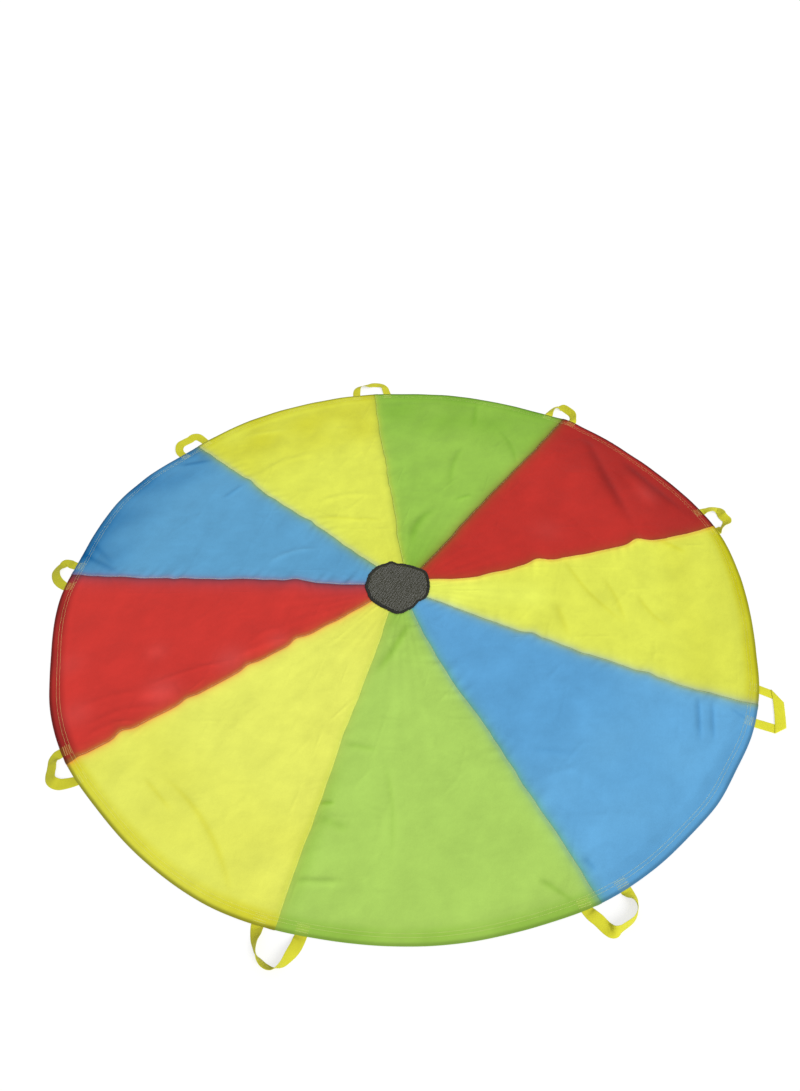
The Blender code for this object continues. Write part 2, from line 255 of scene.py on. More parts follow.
class Board:
    """The shader nodes of one material, with short ways to add and join them."""

    def __init__(self, name: str) -> None:
        """Start a material that has only its output.

        Args:
            name: The material's name.
        """
        self.material = bpy.data.materials.new(name)
        self.material.use_nodes = True
        self.tree = self.material.node_tree
        self.tree.nodes.clear()
        self.output = self.add("ShaderNodeOutputMaterial")

    def add(self, kind: str, inputs: dict | None = None, **options: object) -> bpy.types.Node:
        """Add a node.

        Args:
            kind: Its Blender type.
            inputs: Values or sockets to join, by the input's name or number.
            options: Its own settings.

        Returns:
            The node.
        """
        node = self.tree.nodes.new(kind)
        for name, value in options.items():
            setattr(node, name, value)
        for name, value in (inputs or {}).items():
            if isinstance(value, Socket):
                self.tree.links.new(value, node.inputs[name])
            else:
                node.inputs[name].default_value = value
        return node

    def sums(self, operation: str, first: Input, second: Input = 0.0) -> Socket:
        """Do one sum on numbers or sockets and give its result."""
        return self.add("ShaderNodeMath", {0: first, 1: second}, operation=operation).outputs[0]

    def noise(self, place: Socket, scale: float, low: float, high: float,
              detail: float = 3.0) -> Socket:
        """Give noise, brought from its middle range to low and high.

        Args:
            place: Where the noise is read.
            scale: Its scale.
            low: What its low end becomes.
            high: What its high end becomes.
            detail: How many finer layers it has.

        Returns:
            The noise's socket.
        """
        made = self.add("ShaderNodeTexNoise", {"Vector": place, "Scale": scale, "Detail": detail})
        span = {"Value": made.outputs["Fac"], 1: 0.3, 2: 0.7, 3: low, 4: high}
        return self.add("ShaderNodeMapRange", span).outputs[0]

    def bump(self, height: Socket, distance: float, strength: float,
             normal: Socket | None = None) -> Socket:
        """Raise the surface by a height from 0 to 1 over a distance.

        Args:
            height: The height, from 0 to 1.
            distance: How high 1 stands, in metres.
            strength: Its share.
            normal: Another bump that it is added to.

        Returns:
            The normal's socket.
        """
        inputs = {"Height": height, "Distance": distance, "Strength": strength}
        if normal is not None:
            inputs["Normal"] = normal
        return self.add("ShaderNodeBump", inputs).outputs[0]

    def weave(self, across: float, along: float) -> Socket:
        """Give sin x sin of the cloth's own plane: the humps of a plain weave.

        Args:
            across: Width of a thread pair, in metres.
            along: Length of a thread pair, in metres.

        Returns:
            The socket of a height from 0 to 1.
        """
        plane = self.add("ShaderNodeUVMap", uv_map="cut").outputs[0]
        parts = self.add("ShaderNodeSeparateXYZ", {0: plane}).outputs
        first = self.sums("SINE", self.sums("MULTIPLY", parts[0], 2 * math.pi / across))
        second = self.sums("SINE", self.sums("MULTIPLY", parts[1], 2 * math.pi / along))
        both = self.sums("MULTIPLY", first, second)
        return self.sums("MULTIPLY_ADD", both, 0.5)


@dataclass(frozen=True)
class FabricFinish:
    """A woven cloth: its colour comes from a piece's own attribute or is one tint."""

    name: str
    tint: Tint | None = None
    thread: float = 0.5 * MM
    weave_depth: float = 0.05 * MM
    crinkle_scale: float = 70.0
    crinkle_depth: float = 0.6 * MM
    mottle: float = 0.055
    roughness: float = 0.6
    gloss: float = 0.12
    sheen: float = 0.05

    def build(self) -> bpy.types.Material:
        """Make the material.

        Base colour is the tint or attribute times broad and fine mottling, with painted
        shade in the weave's valleys and a painted highlight on its crowns. The surface is soft
        crinkles with the weave on top.

        Returns:
            The material.
        """
        board = Board(self.name)
        place = board.add("ShaderNodeTexCoord").outputs["Object"]
        broad = board.noise(place, 9.0, 1 - self.mottle, 1 + self.mottle / 2)
        middle = board.noise(place, 30.0, 1 - self.mottle / 2, 1 + self.mottle / 2)
        fine = board.noise(place, 420.0, 1 - self.mottle / 2, 1 + self.mottle / 3)
        weave = board.weave(self.thread, self.thread)
        shade = board.sums("MULTIPLY", board.sums("MULTIPLY", broad, middle), fine)
        # Painted shade in the weave's valleys, painted highlight on its crowns.
        span = {"Value": weave, 1: 0.0, 2: 1.0, 3: 0.97, 4: 1.02}
        valley_shades = board.add("ShaderNodeMapRange", span)
        shade = board.sums("MULTIPLY", shade, valley_shades.outputs[0])
        if self.tint is None:
            colour = board.add("ShaderNodeAttribute", attribute_name="cloth_colour").outputs[0]
        else:
            colour = self.tint.rgba()[:3]
        mottled = board.add("ShaderNodeVectorMath", {0: colour, 1: shade}, operation="MULTIPLY")
        crinkle = board.noise(place, self.crinkle_scale, 0.0, 1.0, detail=5.0)
        normal = board.bump(crinkle, self.crinkle_depth, 0.5)
        normal = board.bump(weave, self.weave_depth, 0.6, normal)
        inputs = {
            "Base Color": mottled.outputs[0],
            "Roughness": board.noise(place, 30.0, self.roughness - 0.05, self.roughness + 0.05),
            "Specular IOR Level": self.gloss,
            "Sheen Weight": self.sheen,
            "Sheen Roughness": 0.4,
            "Normal": normal,
        }
        shader = board.add("ShaderNodeBsdfPrincipled", inputs)
        board.tree.links.new(shader.outputs[0], board.output.inputs[0])
        return board.material


@dataclass(frozen=True)
class WebbingFinish:
    """Flat woven strap: cross ribs between warp cords, with a firm selvage."""

    name: str
    tint: Tint
    # The valleys' deeper tint is painted shade.
    valley_shade: Tint
    rib: float = 1.5 * MM
    cord: float = 2.1 * MM
    depth: float = 0.3 * MM

    def build(self) -> bpy.types.Material:
        """Make the material.

        The height is the weave of ribs and cords, and its valleys take the deeper
        tint, as painted shade. Fine noise stands for the fibres. The strap's own attribute
        is painted light and shade, a little brighter or duller than the next strap.

        Returns:
            The material.
        """
        board = Board(self.name)
        place = board.add("ShaderNodeTexCoord").outputs["Object"]
        weave = board.weave(self.cord, self.rib)
        fibre = board.noise(place, 1500.0, 0.0, 1.0, detail=2.0)
        blotch = board.noise(place, 45.0, -0.12, 0.12)
        height = board.sums("MULTIPLY_ADD", fibre, 0.15)
        board.tree.links.new(weave, height.node.inputs[2])
        depth = board.sums("ADD", height, blotch)
        mixed = board.add("ShaderNodeMix", {0: depth}, data_type="RGBA")
        mixed.inputs[6].default_value = self.valley_shade.rgba()
        mixed.inputs[7].default_value = self.tint.rgba()
        # Painted light and shade: each strap drawn brighter or darker by its own attribute.
        painted_light = board.add("ShaderNodeAttribute", attribute_name="webbing_painted_light").outputs[0]
        factors = {0: mixed.outputs[2], 1: painted_light}
        dyed = board.add("ShaderNodeVectorMath", factors, operation="MULTIPLY")
        inputs = {
            "Base Color": dyed.outputs[0],
            "Roughness": 0.72,
            "Specular IOR Level": 0.25,
            "Sheen Weight": 0.05,
            "Sheen Roughness": 0.5,
            "Normal": board.bump(height, self.depth, 0.7),
        }
        shader = board.add("ShaderNodeBsdfPrincipled", inputs)
        board.tree.links.new(shader.outputs[0], board.output.inputs[0])
        return board.material


@dataclass(frozen=True)
class ThreadFinish:
    """Twisted sewing thread."""

    name: str
    tint: Tint
    twist: float = 0.9 * MM

    def build(self) -> bpy.types.Material:
        """Make the material: two plies wind round, with painted shade in the valleys between them.

        Returns:
            The material.
        """
        board = Board(self.name)
        place = board.add("ShaderNodeTexCoord").outputs["Object"]
        plane = board.add("ShaderNodeUVMap", uv_map="cut").outputs[0]
        parts = board.add("ShaderNodeSeparateXYZ", {0: plane}).outputs
        along = board.sums("MULTIPLY", parts[1], 2 * math.pi / self.twist)
        around = board.sums("MULTIPLY_ADD", parts[0], 4 * math.pi)
        board.tree.links.new(along, around.node.inputs[2])
        ply = board.sums("MULTIPLY_ADD", board.sums("SINE", around), 0.5)
        ply.node.inputs[2].default_value = 0.5
        fade = board.noise(place, 60.0, 0.9, 1.05)
        # Painted shade in the valleys between the plies.
        valley_shade = board.add("ShaderNodeMapRange", {"Value": ply, 1: 0.0, 2: 1.0, 3: 0.88, 4: 1.0})
        shade = board.sums("MULTIPLY", valley_shade.outputs[0], fade)
        colour = board.add("ShaderNodeVectorMath", {1: shade}, operation="MULTIPLY")
        colour.inputs[0].default_value = self.tint.rgba()[:3]
        inputs = {
            "Base Color": colour.outputs[0],
            "Roughness": 0.5,
            "Sheen Weight": 0.15,
            "Normal": board.bump(ply, 0.1 * MM, 0.8),
        }
        shader = board.add("ShaderNodeBsdfPrincipled", inputs)
        board.tree.links.new(shader.outputs[0], board.output.inputs[0])
        return board.material


class Dye(Enum):
    """Cloth colours: one layer of cloth, and several layers over each other.

    The second tints of green, red, yellow and blue are the first ones painted lighter
    or darker, for how the light falls on their gores.
    """

    GREEN = (Tint(151, 196, 77), Tint(120, 172, 48))
    GREEN_LIT = (Tint(173, 211, 97), Tint(136, 182, 58))
    RED = (Tint(192, 47, 40), Tint(140, 30, 28))
    RED_LIT = (Tint(204, 54, 47), Tint(146, 34, 30))
    YELLOW = (Tint(224, 231, 86), Tint(205, 205, 48))
    YELLOW_LIT = (Tint(230, 235, 101), Tint(212, 209, 46))
    BLUE = (Tint(92, 161, 211), Tint(46, 122, 182))
    BLUE_SHADED = (Tint(93, 160, 203), Tint(36, 110, 164))

    def layers(self, deep: np.ndarray) -> np.ndarray:
        """Mix one layer's colour with that of several layers.

        Args:
            deep: 0 on a single layer, up to 1 where several lie over each other, plus painted
                shade and highlight.

        Returns:
            The linear red, green and blue at each place.
        """
        single, several = (tint.linear() for tint in self.value)
        return single + (several - single) * deep[..., None]


# How the cloth lies

@dataclass(frozen=True)
class Fold:
    """A soft ridge in the cloth from one place on the ground to another, in mm.

    The bow is how far its middle stands aside, to the right of its way. The crease
    is painted shade along it, how much deeper the cloth's colour is drawn there, and a
    painted highlight where it is negative.
    """

    start: tuple[float, float]
    end: tuple[float, float]
    bow: float
    height: float
    half_width: float
    crease: float

    def line(self, x: np.ndarray, y: np.ndarray, width: float) -> np.ndarray:
        """Give the ridge's strength: a bell across it, which fades at its two ends.

        The bow bends its line as a parabola of the share along it: 4 s (1 - s).

        Args:
            x: Places on the ground.
            y: Places on the ground.
            width: The bell's width, as a share of the half width.

        Returns:
            0 to 1 at each place.
        """
        run = (np.array(self.end) - np.array(self.start)) * MM
        length = float(np.hypot(*run))
        x, y = x - self.start[0] * MM, y - self.start[1] * MM
        share = (x * run[0] + y * run[1]) / length**2
        away = (x * run[1] - y * run[0]) / length - self.bow * MM * 4 * share * (1 - share)
        ends = smoothstep(-0.15, 0.3, share) * (1 - smoothstep(0.7, 1.15, share))
        return bell(away, 0.0, self.half_width * MM * width) * ends

    def at(self, x: np.ndarray, y: np.ndarray) -> np.ndarray:
        """Give the ridge's height."""
        return self.height * MM * self.line(x, y, 1.0)


# Each fold's start, end, bow, height, half width and crease (painted shade; a negative one is a
# painted highlight).
FOLDS = tuple(Fold(*row) for row in (
    ((602, 638), (667, 206), 4, 5, 20, 0.4), ((616, 480), (648, 310), 0, 0, 26, 0.2),
    ((697, 520), (830, 270), 8, 4, 20, 0.42), ((690, 470), (745, 300), 5, 4, 24, -0.25),
    ((203, 601), (157, 422), 12, 2.4, 12, 0.3), ((96, 310), (32, 178), 15, 4, 16, 0.5),
    ((168, 352), (217, 372), 0, 2, 9, 0.35), ((267, 840), (250, 716), 0, 2.5, 10, 0.35),
    ((332, 680), (364, 505), -13, 2, 9, 0.3), ((449, 93), (559, -126), 14, 2.4, 9, 0.35),
    ((545, 15), (569, -126), -6, 2, 9, 0.3), ((623, -45), (675, -156), 8, 2.2, 9, 0.3),
    ((403, -67), (417, -174), 0, 2.5, 12, 0.3), ((720, 163), (786, 113), 0, 3, 12, 0.4),
    ((170, -18), (400, -42), 0, 0, 70, -0.3), ((-899, 160), (-773, 76), 0, 4, 12, 0.32),
    ((-883, 208), (-797, 110), 0, 3, 12, 0.2), ((-900, 90), (-850, 280), 0, 0, 50, 0.2),
    ((-369, 104), (-239, 155), -16, 2, 10, -0.15), ((-529, 385), (-481, 439), 0, 2, 8, 0.25),
    ((-689, 543), (-591, 563), 0, 2, 12, 0.4), ((-491, 684), (-373, 714), 0, 2, 12, -0.2),
    ((-437, 485), (-263, 588), -18, 2.4, 14, 0), ((-250, 349), (-89, 385), -15, 2.2, 12, 0),
    ((-247, 287), (-59, 272), 0, 2, 10, 0.25), ((-639, -306), (-403, -220), -9, 1.4, 7, 0.12),
    ((-779, -363), (-637, -316), -12, 1.4, 9, 0.1),
    ((-740, -403), (-571, -361), -18, 1.4, 9, 0.12),
    ((-740, -441), (-630, -395), -12, 1.2, 8, 0.1),
    ((-560, -289), (-536, -330), 0, 1.2, 8, 0.15),
    ((-379, -164), (-305, -129), -12, 1.2, 10, 0.1),
    ((-640, -330), (-550, -322), 0, 1, 22, -0.3), ((-645, -202), (-605, -188), 0, 0, 20, -0.25),
    ((-420, -222), (-290, -158), 0, 1, 14, -0.25), ((-575, -552), (-509, -624), 0, 2.6, 6, 0.3),
    ((-516, -563), (-360, -796), -19, 3.5, 8, 0.4), ((-187, -619), (-156, -618), 0, 2.2, 6, 0.6),
    ((-185, -653), (-125, -679), 0, 2, 14, 0.3), ((-227, -785), (-134, -790), 0, 3.5, 7, 0.2),
    ((-45, -536), (-34, -737), -8, 1.6, 7, 0.2), ((-64, -273), (19, -116), 3, 3, 14, 0.5),
    ((-136, -475), (-67, -491), 0, 2, 10, 0.3), ((262, -794), (319, -836), 0, 3, 8, 0.5),
    ((-150, -520), (-240, -850), 0, 0, 26, 0.35), ((693, -370), (666, -483), 0, 3, 6, 0.4),
    ((721, -390), (696, -486), 0, 3, 6, 0.35), ((763, -405), (787, -433), 0, 2.2, 6, 0.3),
    ((742, -466), (799, -425), 0, 2.2, 6, 0), ((297, -569), (380, -545), 0, 1.4, 10, 0),
    ((284, -499), (385, -512), 0, 1.2, 10, 0.12), ((357, -751), (376, -780), 0, 2.5, 10, 0.4),
))


@dataclass(frozen=True)
class Kink:
    """A place where a seam bulges: its seam, radius, half width and sideways step.

    The lengths are in mm, and a positive step is clockwise.
    """

    seam: int
    radius: float
    half_width: float
    step: float

    def at(self, radius: np.ndarray) -> np.ndarray:
        """Give a bell of height 1 along the seam."""
        return bell(radius, self.radius * MM, self.half_width * MM)


KINKS = (
    Kink(3, 384, 26, -9), Kink(3, 482, 16, 3), Kink(3, 682, 26, -14), Kink(3, 748, 20, 3),
    Kink(4, 332, 20, 3), Kink(4, 370, 18, -5), Kink(4, 500, 18, 5), Kink(4, 662, 16, -4),
    Kink(5, 490, 18, -3), Kink(7, 320, 20, 7), Kink(7, 456, 18, 5), Kink(7, 620, 18, 5),
    Kink(7, 782, 18, 9), Kink(7, 885, 12, 3), Kink(8, 290, 22, 5), Kink(8, 498, 20, -4),
    Kink(8, 622, 14, -3), Kink(8, 770, 20, 2), Kink(9, 375, 16, 4), Kink(9, 650, 20, 4),
)


@dataclass(frozen=True)
class ClothPlan:
    """Where every seam, edge and ripple of the canopy lies on the ground.

    Plain polar places, with a round rim and hub, are what the sizes are given in.
    place() then puts them where the slack cloth has them.
    """

    rim: float
    hub: float
    feet: tuple[float, ...] = ()
    seams: int = 9
    first_seam_deg: float = 94.0
    knot_shares: tuple[float, ...] = (0.1, 0.2, 0.3, 0.4, 0.5, 0.6, 0.7, 0.8, 0.9, 1.0)
    sways_mm: tuple[tuple[float, ...], ...] = (
        (12, 5, 6, 3, -3, -4, -11, -13, -14, -15),
        (-1, 1, 0, -1, 0, 3, 6, 9, 7, 9),
        (-15, 10, 11, 7, 10, 13, 12, 17, 18, 10),
        (1, 5, 9, 7, 9, 9, 9, 9, 4, -8),
        (9, 17, 19, 16, 10, 6, 6, 1, 0, 1),
        (12, 9, 9, 10, 13, 11, 10, 10, 11, 9),
        (10, 8, 8, 8, 7, 4, 4, 4, 5, 3),
        (6, 2, 7, 5, 1, -6, -9, -16, -16, -17),
        (8, 4, 3, -1, -7, -13, -12, -15, -19, -21),
    )
    seam_puckers: tuple[float, ...] = (0.35, 0.55, 0.9, 0.9, 0.9, 0.45, 0.8, 1.3, 1.0)
    rim_knots: tuple[tuple[float, float], ...] = (
        (-180, -2), (-166, -9), (-155, 1), (-148, 2), (-137, -5), (-127, -1), (-114, 6),
        (-101, 0), (-85, 2), (-74, 3), (-66, 8), (-58, 7), (-50, 4), (-44, 6), (-38, 2),
        (-31, 4), (-24, 0), (-15, -11), (-8, -11), (-2, -7), (4, -1), (10, 6), (18, 4),
        (27, -3), (37, -5), (45, 1), (52, 1), (60, -6), (80, -8), (87, -10), (96, -4),
        (111, -2), (122, 0), (130, -3), (138, -7), (147, 5), (156, 9), (163, 1), (171, -7),
    )
    hub_shift: tuple[float, float] = (-8 * MM, 5.3 * MM)
    hub_base: float = -5 * MM
    hub_bumps: tuple[tuple[float, float, float], ...] = (
        (106, 6, 8), (128, 24, 12.5), (151, 8, 4), (172, 12, 6), (-160, 12, 2.5), (-98, 15, 10.5),
        (-49, 14, -9.5), (-8, 26, -2.5), (42, 15, 7),
    )
    layer: float = 0.27 * MM
    allowance: float = 10 * MM
    hem_width: float = 26 * MM
    hem_slope: float = 26 * MM
    hem_lift: float = 1.9 * MM
    hem_turn: float = 0.45 * MM
    rest_height: float = 0.4 * MM
    roll_height: float = 2.8 * MM
    drag: float = 0.25 * MM
    crumple: float = 0.8 * MM
    pucker: float = 1.9 * MM
    pucker_reach: float = 12 * MM
    pucker_length: float = 30 * MM
    kink_lift: float = 0.3
    kink_reach: float = 26 * MM
    gather: float = 0.8 * MM
    gathers: int = 50
    lifted_hem_deg: float = 52.0
    lifted_hem: float = 6 * MM

    def bumps(self, angle: np.ndarray, table: tuple) -> np.ndarray:
        """Add bells round the circle, each an angle, a half width and a height in mm.

        Args:
            angle: Angles from +X.
            table: The bells.

        Returns:
            Their sum at each angle.
        """
        total = np.zeros(np.shape(angle))
        for centre_deg, half_deg, height_mm in table:
            away = turn_between(angle, math.radians(centre_deg))
            total = total + height_mm * MM * bell(away, 0.0, math.radians(half_deg))
        return total

    def rim_reach(self, angle: np.ndarray) -> np.ndarray:
        """Give how far the rim stands outside its plain circle: a closed smooth curve.

        Args:
            angle: Angles from +X.

        Returns:
            The distance at each angle.
        """
        knots = np.array(self.rim_knots)
        knots = np.concatenate([knots[-2:] - (360, 0), knots, knots[:3] + (360, 0)])
        turn = np.degrees(turn_between(angle, 0.0))
        return curve_through(knots[:, 0], knots[:, 1], turn) * MM

    def hub_reach(self, angle: np.ndarray) -> np.ndarray:
        """Give the distance of the hub's outline from the middle of the canopy."""
        shift = self.hub_shift[0] * np.cos(angle) + self.hub_shift[1] * np.sin(angle)
        return self.hub + self.hub_base + shift + self.bumps(angle, self.hub_bumps)

    def place(self, radius: np.ndarray, angle: np.ndarray) -> tuple[np.ndarray, np.ndarray]:
        """Put plain polar places on the ground.

        The rim's bumps fade in over the outer third, and the hub's outline fades out
        to a third of the way to the rim.

        Args:
            radius: Plain distances from the middle.
            angle: Angles from +X.

        Returns:
            x and y.
        """
        outer = smoothstep(0.62 * self.rim, 0.97 * self.rim, radius)
        inner = 1 - smoothstep(self.hub, 0.36 * self.rim, radius)
        out = radius + self.rim_reach(angle) * outer
        out = out + (self.hub_reach(angle) - self.hub) * inner
        return out * np.cos(angle), out * np.sin(angle)

    def ray(self, number: int) -> float:
        """Give the plain angle of a seam."""
        return math.radians(self.first_seam_deg) - (number - 1) * 2 * math.pi / self.seams

    def seam_angle(self, number: int, radius: np.ndarray) -> np.ndarray:
        """Give the angle of a seam's folded edge at each radius, with its sway.

        Args:
            number: The seam.
            radius: Plain distances from the middle.

        Returns:
            The angle from +X at each distance.
        """
        knots = np.array(self.knot_shares) * self.rim
        sways = np.array(self.sways_mm[(number - 1) % self.seams]) * MM
        sway = curve_through(knots, sways, np.clip(radius, knots[0], knots[-1]))
        for kink in self.kinks_of(number):
            sway = sway + kink.step * MM * kink.at(radius)
        wobble = 0.9 * MM * Ripple(40 + number % self.seams, 0.06).at(radius, 0.0)
        fade = smoothstep(self.hub, 2 * self.hub, radius)
        return self.ray(number) - (sway + wobble * fade) / radius

    def kinks_of(self, number: int) -> list[Kink]:
        """Give the kinks of one seam, also where its number runs on past the last."""
        return [kink for kink in KINKS if (kink.seam - number) % self.seams == 0]

    def beside_seam(self, number: int, radius: np.ndarray, angle: np.ndarray) -> np.ndarray:
        """Give the distance clockwise from a seam's folded edge."""
        return -turn_between(angle - self.seam_angle(number, radius), 0.0) * radius

    def stack(self, radius: np.ndarray, angle: np.ndarray) -> np.ndarray:
        """Give the rise of the top cloth over the two seam allowances under it.

        Args:
            radius: Plain distances from the middle.
            angle: Angles from +X.

        Returns:
            The rise at each place.
        """
        total = np.zeros(np.shape(angle))
        for number in range(1, self.seams + 1):
            away = self.beside_seam(number, radius, angle)
            inside = smoothstep(-0.2 * MM, 0.2 * MM, away)
            fade = 1 - smoothstep(self.allowance, 1.6 * self.allowance, away)
            total = total + 2 * self.layer * inside * fade
        return total

    def puckers(self, radius: np.ndarray, angle: np.ndarray) -> np.ndarray:
        """Give the small bulges that a seam's tight thread draws up beside it.

        Along the seam they are seeded waves, and across it they rise as
        t exp(1 - t) of the distance over the reach, so the seam itself stays low. The
        lower cloth has less of them, and the binding presses them flat. A kink in the
        seam lifts the cloth on both its sides.

        Args:
            radius: Plain distances from the middle.
            angle: Angles from +X.

        Returns:
            Their height at each place.
        """
        total = np.zeros(np.shape(angle))
        free = smoothstep(self.hub + 2 * MM, self.hub + 30 * MM, radius)
        for number in range(1, self.seams + 1):
            away = self.beside_seam(number, radius, angle)
            share = np.abs(away) / self.pucker_reach
            shape = share * np.exp(1 - share) * self.seam_puckers[number - 1] * self.pucker
            along = radius + 0.35 * np.abs(away)
            for side, seed in ((away > 0, 100), (0.6 * (away <= 0), 200)):
                wave = Ripple(seed + number, self.pucker_length).at(along, 0.0)
                strength = 0.7 + 0.6 * Ripple(seed + 50 + number, 0.17).at(radius, 0.0)
                strength = np.clip(strength, 0.1, 1.6)
                total = total + side * shape * strength * np.clip(0.5 + 0.5 * wave, 0.0, None)
            for kink in self.kinks_of(number):
                lift = self.kink_lift * abs(kink.step) * MM * kink.at(radius)
                total = total + lift * bell(away, 0.0, self.kink_reach)
        return total * free

    def gathering(self, radius: np.ndarray, angle: np.ndarray) -> np.ndarray:
        """Give the pleats that run out from the hub, where the cloth is drawn in.

        Each set is the size of a sine of the angle, which wobbles a little. The
        binding presses them flat, and they die away outwards, the fine ones first.

        Args:
            radius: Plain distances from the middle.
            angle: Angles from +X.

        Returns:
            Their height at each place.
        """
        x, y = np.cos(angle), np.sin(angle)
        wobble = 1.3 * Ripple(71, 0.9).at((1 + 4 * radius) * x, (1 + 4 * radius) * y)
        fine = np.abs(np.sin(self.gathers / 2 * angle + wobble))
        wide = np.abs(np.sin(self.gathers / 4 * angle + 1.7 * wobble + 0.6))
        beyond = np.maximum(radius - self.hub, 0.0)
        total = 0.7 * fine * np.exp(-beyond / 0.02) + 1.1 * wide * np.exp(-beyond / 0.04)
        pressed = smoothstep(self.hub - 2 * MM, self.hub + 9 * MM, radius)
        strength = np.clip(0.7 + 0.6 * Ripple(73, 0.9).at(2 * x, 2 * y), 0.1, 1.4)
        return self.gather * total * pressed * strength

    def crumples(self, x: np.ndarray, y: np.ndarray) -> np.ndarray:
        """Give sharp little ridges in patches: each is high where a noise crosses 0.

        Args:
            x: Places on the ground.
            y: Places on the ground.

        Returns:
            Their height at each place.
        """
        total = np.zeros(np.shape(x))
        for seed, wavelength in ((26, 0.24), (27, 0.16), (28, 0.11)):
            ridge = 1 - smoothstep(0.0, 0.16, np.abs(Ripple(seed, wavelength, 2).at(x, y)))
            patch = np.clip(Ripple(seed + 10, 0.19).at(x, y) - 0.1, 0.0, 1.0)
            total = total + ridge * patch
        return self.crumple * total

    def height(self, radius: np.ndarray, angle: np.ndarray) -> np.ndarray:
        """Give the height of the lowest cloth layer over the ground.

        Args:
            radius: Plain distances from the middle.
            angle: Angles from +X.

        Returns:
            The height at each place.
        """
        x, y = self.place(radius, angle)
        roll = 0.25 + 0.3 * Ripple(3, 0.34).at(x, y) + 0.45 * Ripple(8, 0.13).at(x, y)
        roll = self.roll_height * np.clip(roll, 0.0, None)
        stretch = 1 + 0.25 * radius
        streak_x, streak_y = stretch * np.cos(angle), stretch * np.sin(angle)
        roll = roll + self.drag * (1 + Ripple(15, 0.12).at(streak_x, streak_y))
        creases = sum(fold.at(x, y) for fold in FOLDS) + self.crumples(x, y)
        near_hub = smoothstep(self.hub, 2 * self.hub, radius)
        cloth = self.rest_height + (roll + creases) * near_hub + self.gathering(radius, angle)
        cloth = cloth + self.puckers(radius, angle)
        edge = 0.3 * MM + 0.4 * MM * (1 + Ripple(21, 0.09).at(x, y))
        to_hem = smoothstep(self.rim - 0.07, self.rim - self.hem_width - 2 * MM, radius)
        cloth = cloth + (edge - cloth) * to_hem
        turn = turn_between(angle, math.radians(self.lifted_hem_deg))
        lift = bell(turn, 0.0, math.radians(2.4)) * smoothstep(self.rim - 0.09, self.rim, radius)
        rise_start = self.rim - self.hem_width - self.hem_slope
        rise = smoothstep(rise_start, self.rim - self.hem_width, radius)
        return cloth + self.lifted_hem * lift + self.hem_lift * rise

    def surface(self, radius: np.ndarray, angle: np.ndarray, over: float) -> np.ndarray:
        """Give points at a height over the top cloth layer, one row each.

        Args:
            radius: Plain distances from the middle.
            angle: Angles from +X.
            over: The height over the cloth.

        Returns:
            The points.
        """
        x, y = self.place(radius, angle)
        high = self.height(radius, angle) + self.stack(radius, angle) + over
        return np.stack([x, y, high], axis=-1)


@dataclass
class RisePlanes:
    """How each gore follows the centre as it rises: nine planes that meet at the seams.

    Each gore's share of the rise is a plane over the ground, 0 at the hem and 1 at the
    centre. The planes are fitted so that two neighbours agree along their seam.
    """

    plan: ClothPlan
    hem_clear: float = 30 * MM
    hub_clear: float = 4 * MM
    fit_rows: int = 24
    fit_weight: float = 0.1
    end_points: int = 9
    planes: np.ndarray = field(init=False)

    def __post_init__(self) -> None:
        """Solve for the planes by least squares, then scale the shares to 0 and 1."""
        plan, count = self.plan, self.plan.seams
        rows, wanted = [], []
        radii = np.linspace(plan.hub, plan.rim - self.hem_clear, self.fit_rows)
        for seam in range(count):
            angle = plan.seam_angle(seam + 1, radii)
            x, y = plan.place(radii, angle)
            share = (radii[-1] - radii) / (radii[-1] - radii[0])
            for gore, sign in ((seam, 1.0), ((seam - 1) % count, -1.0)):
                block = np.zeros((len(radii), 3 * count))
                block[:, 3 * gore : 3 * gore + 3] = np.stack([x, y, np.ones_like(x)], axis=1)
                rows.append(block * self.fit_weight)
                wanted.append(share * self.fit_weight)
                if sign > 0:
                    both = block
                else:
                    rows.append(both - block)
                    wanted.append(np.zeros(len(radii)))
        found = np.linalg.lstsq(np.vstack(rows), np.concatenate(wanted), rcond=None)[0]
        self.planes = found.reshape(count, 3)
        hem = np.full(self.end_points, plan.rim - self.hem_clear)
        hub = np.full(self.end_points, plan.hub + self.hub_clear)
        low = max(self.shares(number, hem).max() for number in range(1, count + 1))
        high = min(self.shares(number, hub).min() for number in range(1, count + 1))
        self.planes[:, 2] -= low
        self.planes /= high - low

    def shares(self, number: int, radii: np.ndarray) -> np.ndarray:
        """Read a gore's plane at places spread from its first seam to its last.

        Args:
            number: The gore.
            radii: Plain distance of each place.

        Returns:
            The share of the rise at each place.
        """
        plan = self.plan
        spread = np.linspace(0.0, 1.0, len(radii))
        first = plan.seam_angle(number, radii)
        last = plan.seam_angle(number + 1, radii)
        x, y = plan.place(radii, first + (last - first) * spread)
        return self.planes[number - 1] @ np.stack([x, y, np.ones_like(x)])

    def ends(self, number: int) -> tuple[tuple, tuple]:
        """Give the places where a gore's plane is 0 and 1, straight up its slope.

        Args:
            number: The gore.

        Returns:
            The two places on the ground.
        """
        slope, level = self.planes[number - 1, :2], self.planes[number - 1, 2]
        step = slope / (slope @ slope)
        start = -level * step
        return (*start.tolist(), 0.0), (*(start + step).tolist(), 0.0)


# Gores

@dataclass(frozen=True)
class Shading:
    """How much deeper a gore's colour is at the hub, near the rim, and in the hem.

    The hub and rim depths are painted shade, and a painted highlight where they are
    negative. The depth near the rim grows between two distances from it, in mm. The
    fold is the painted shade of the hem's fold: how dark it gets.
    """

    hub: float
    edge: float
    edge_from: float
    edge_to: float
    hem: float
    fold: float


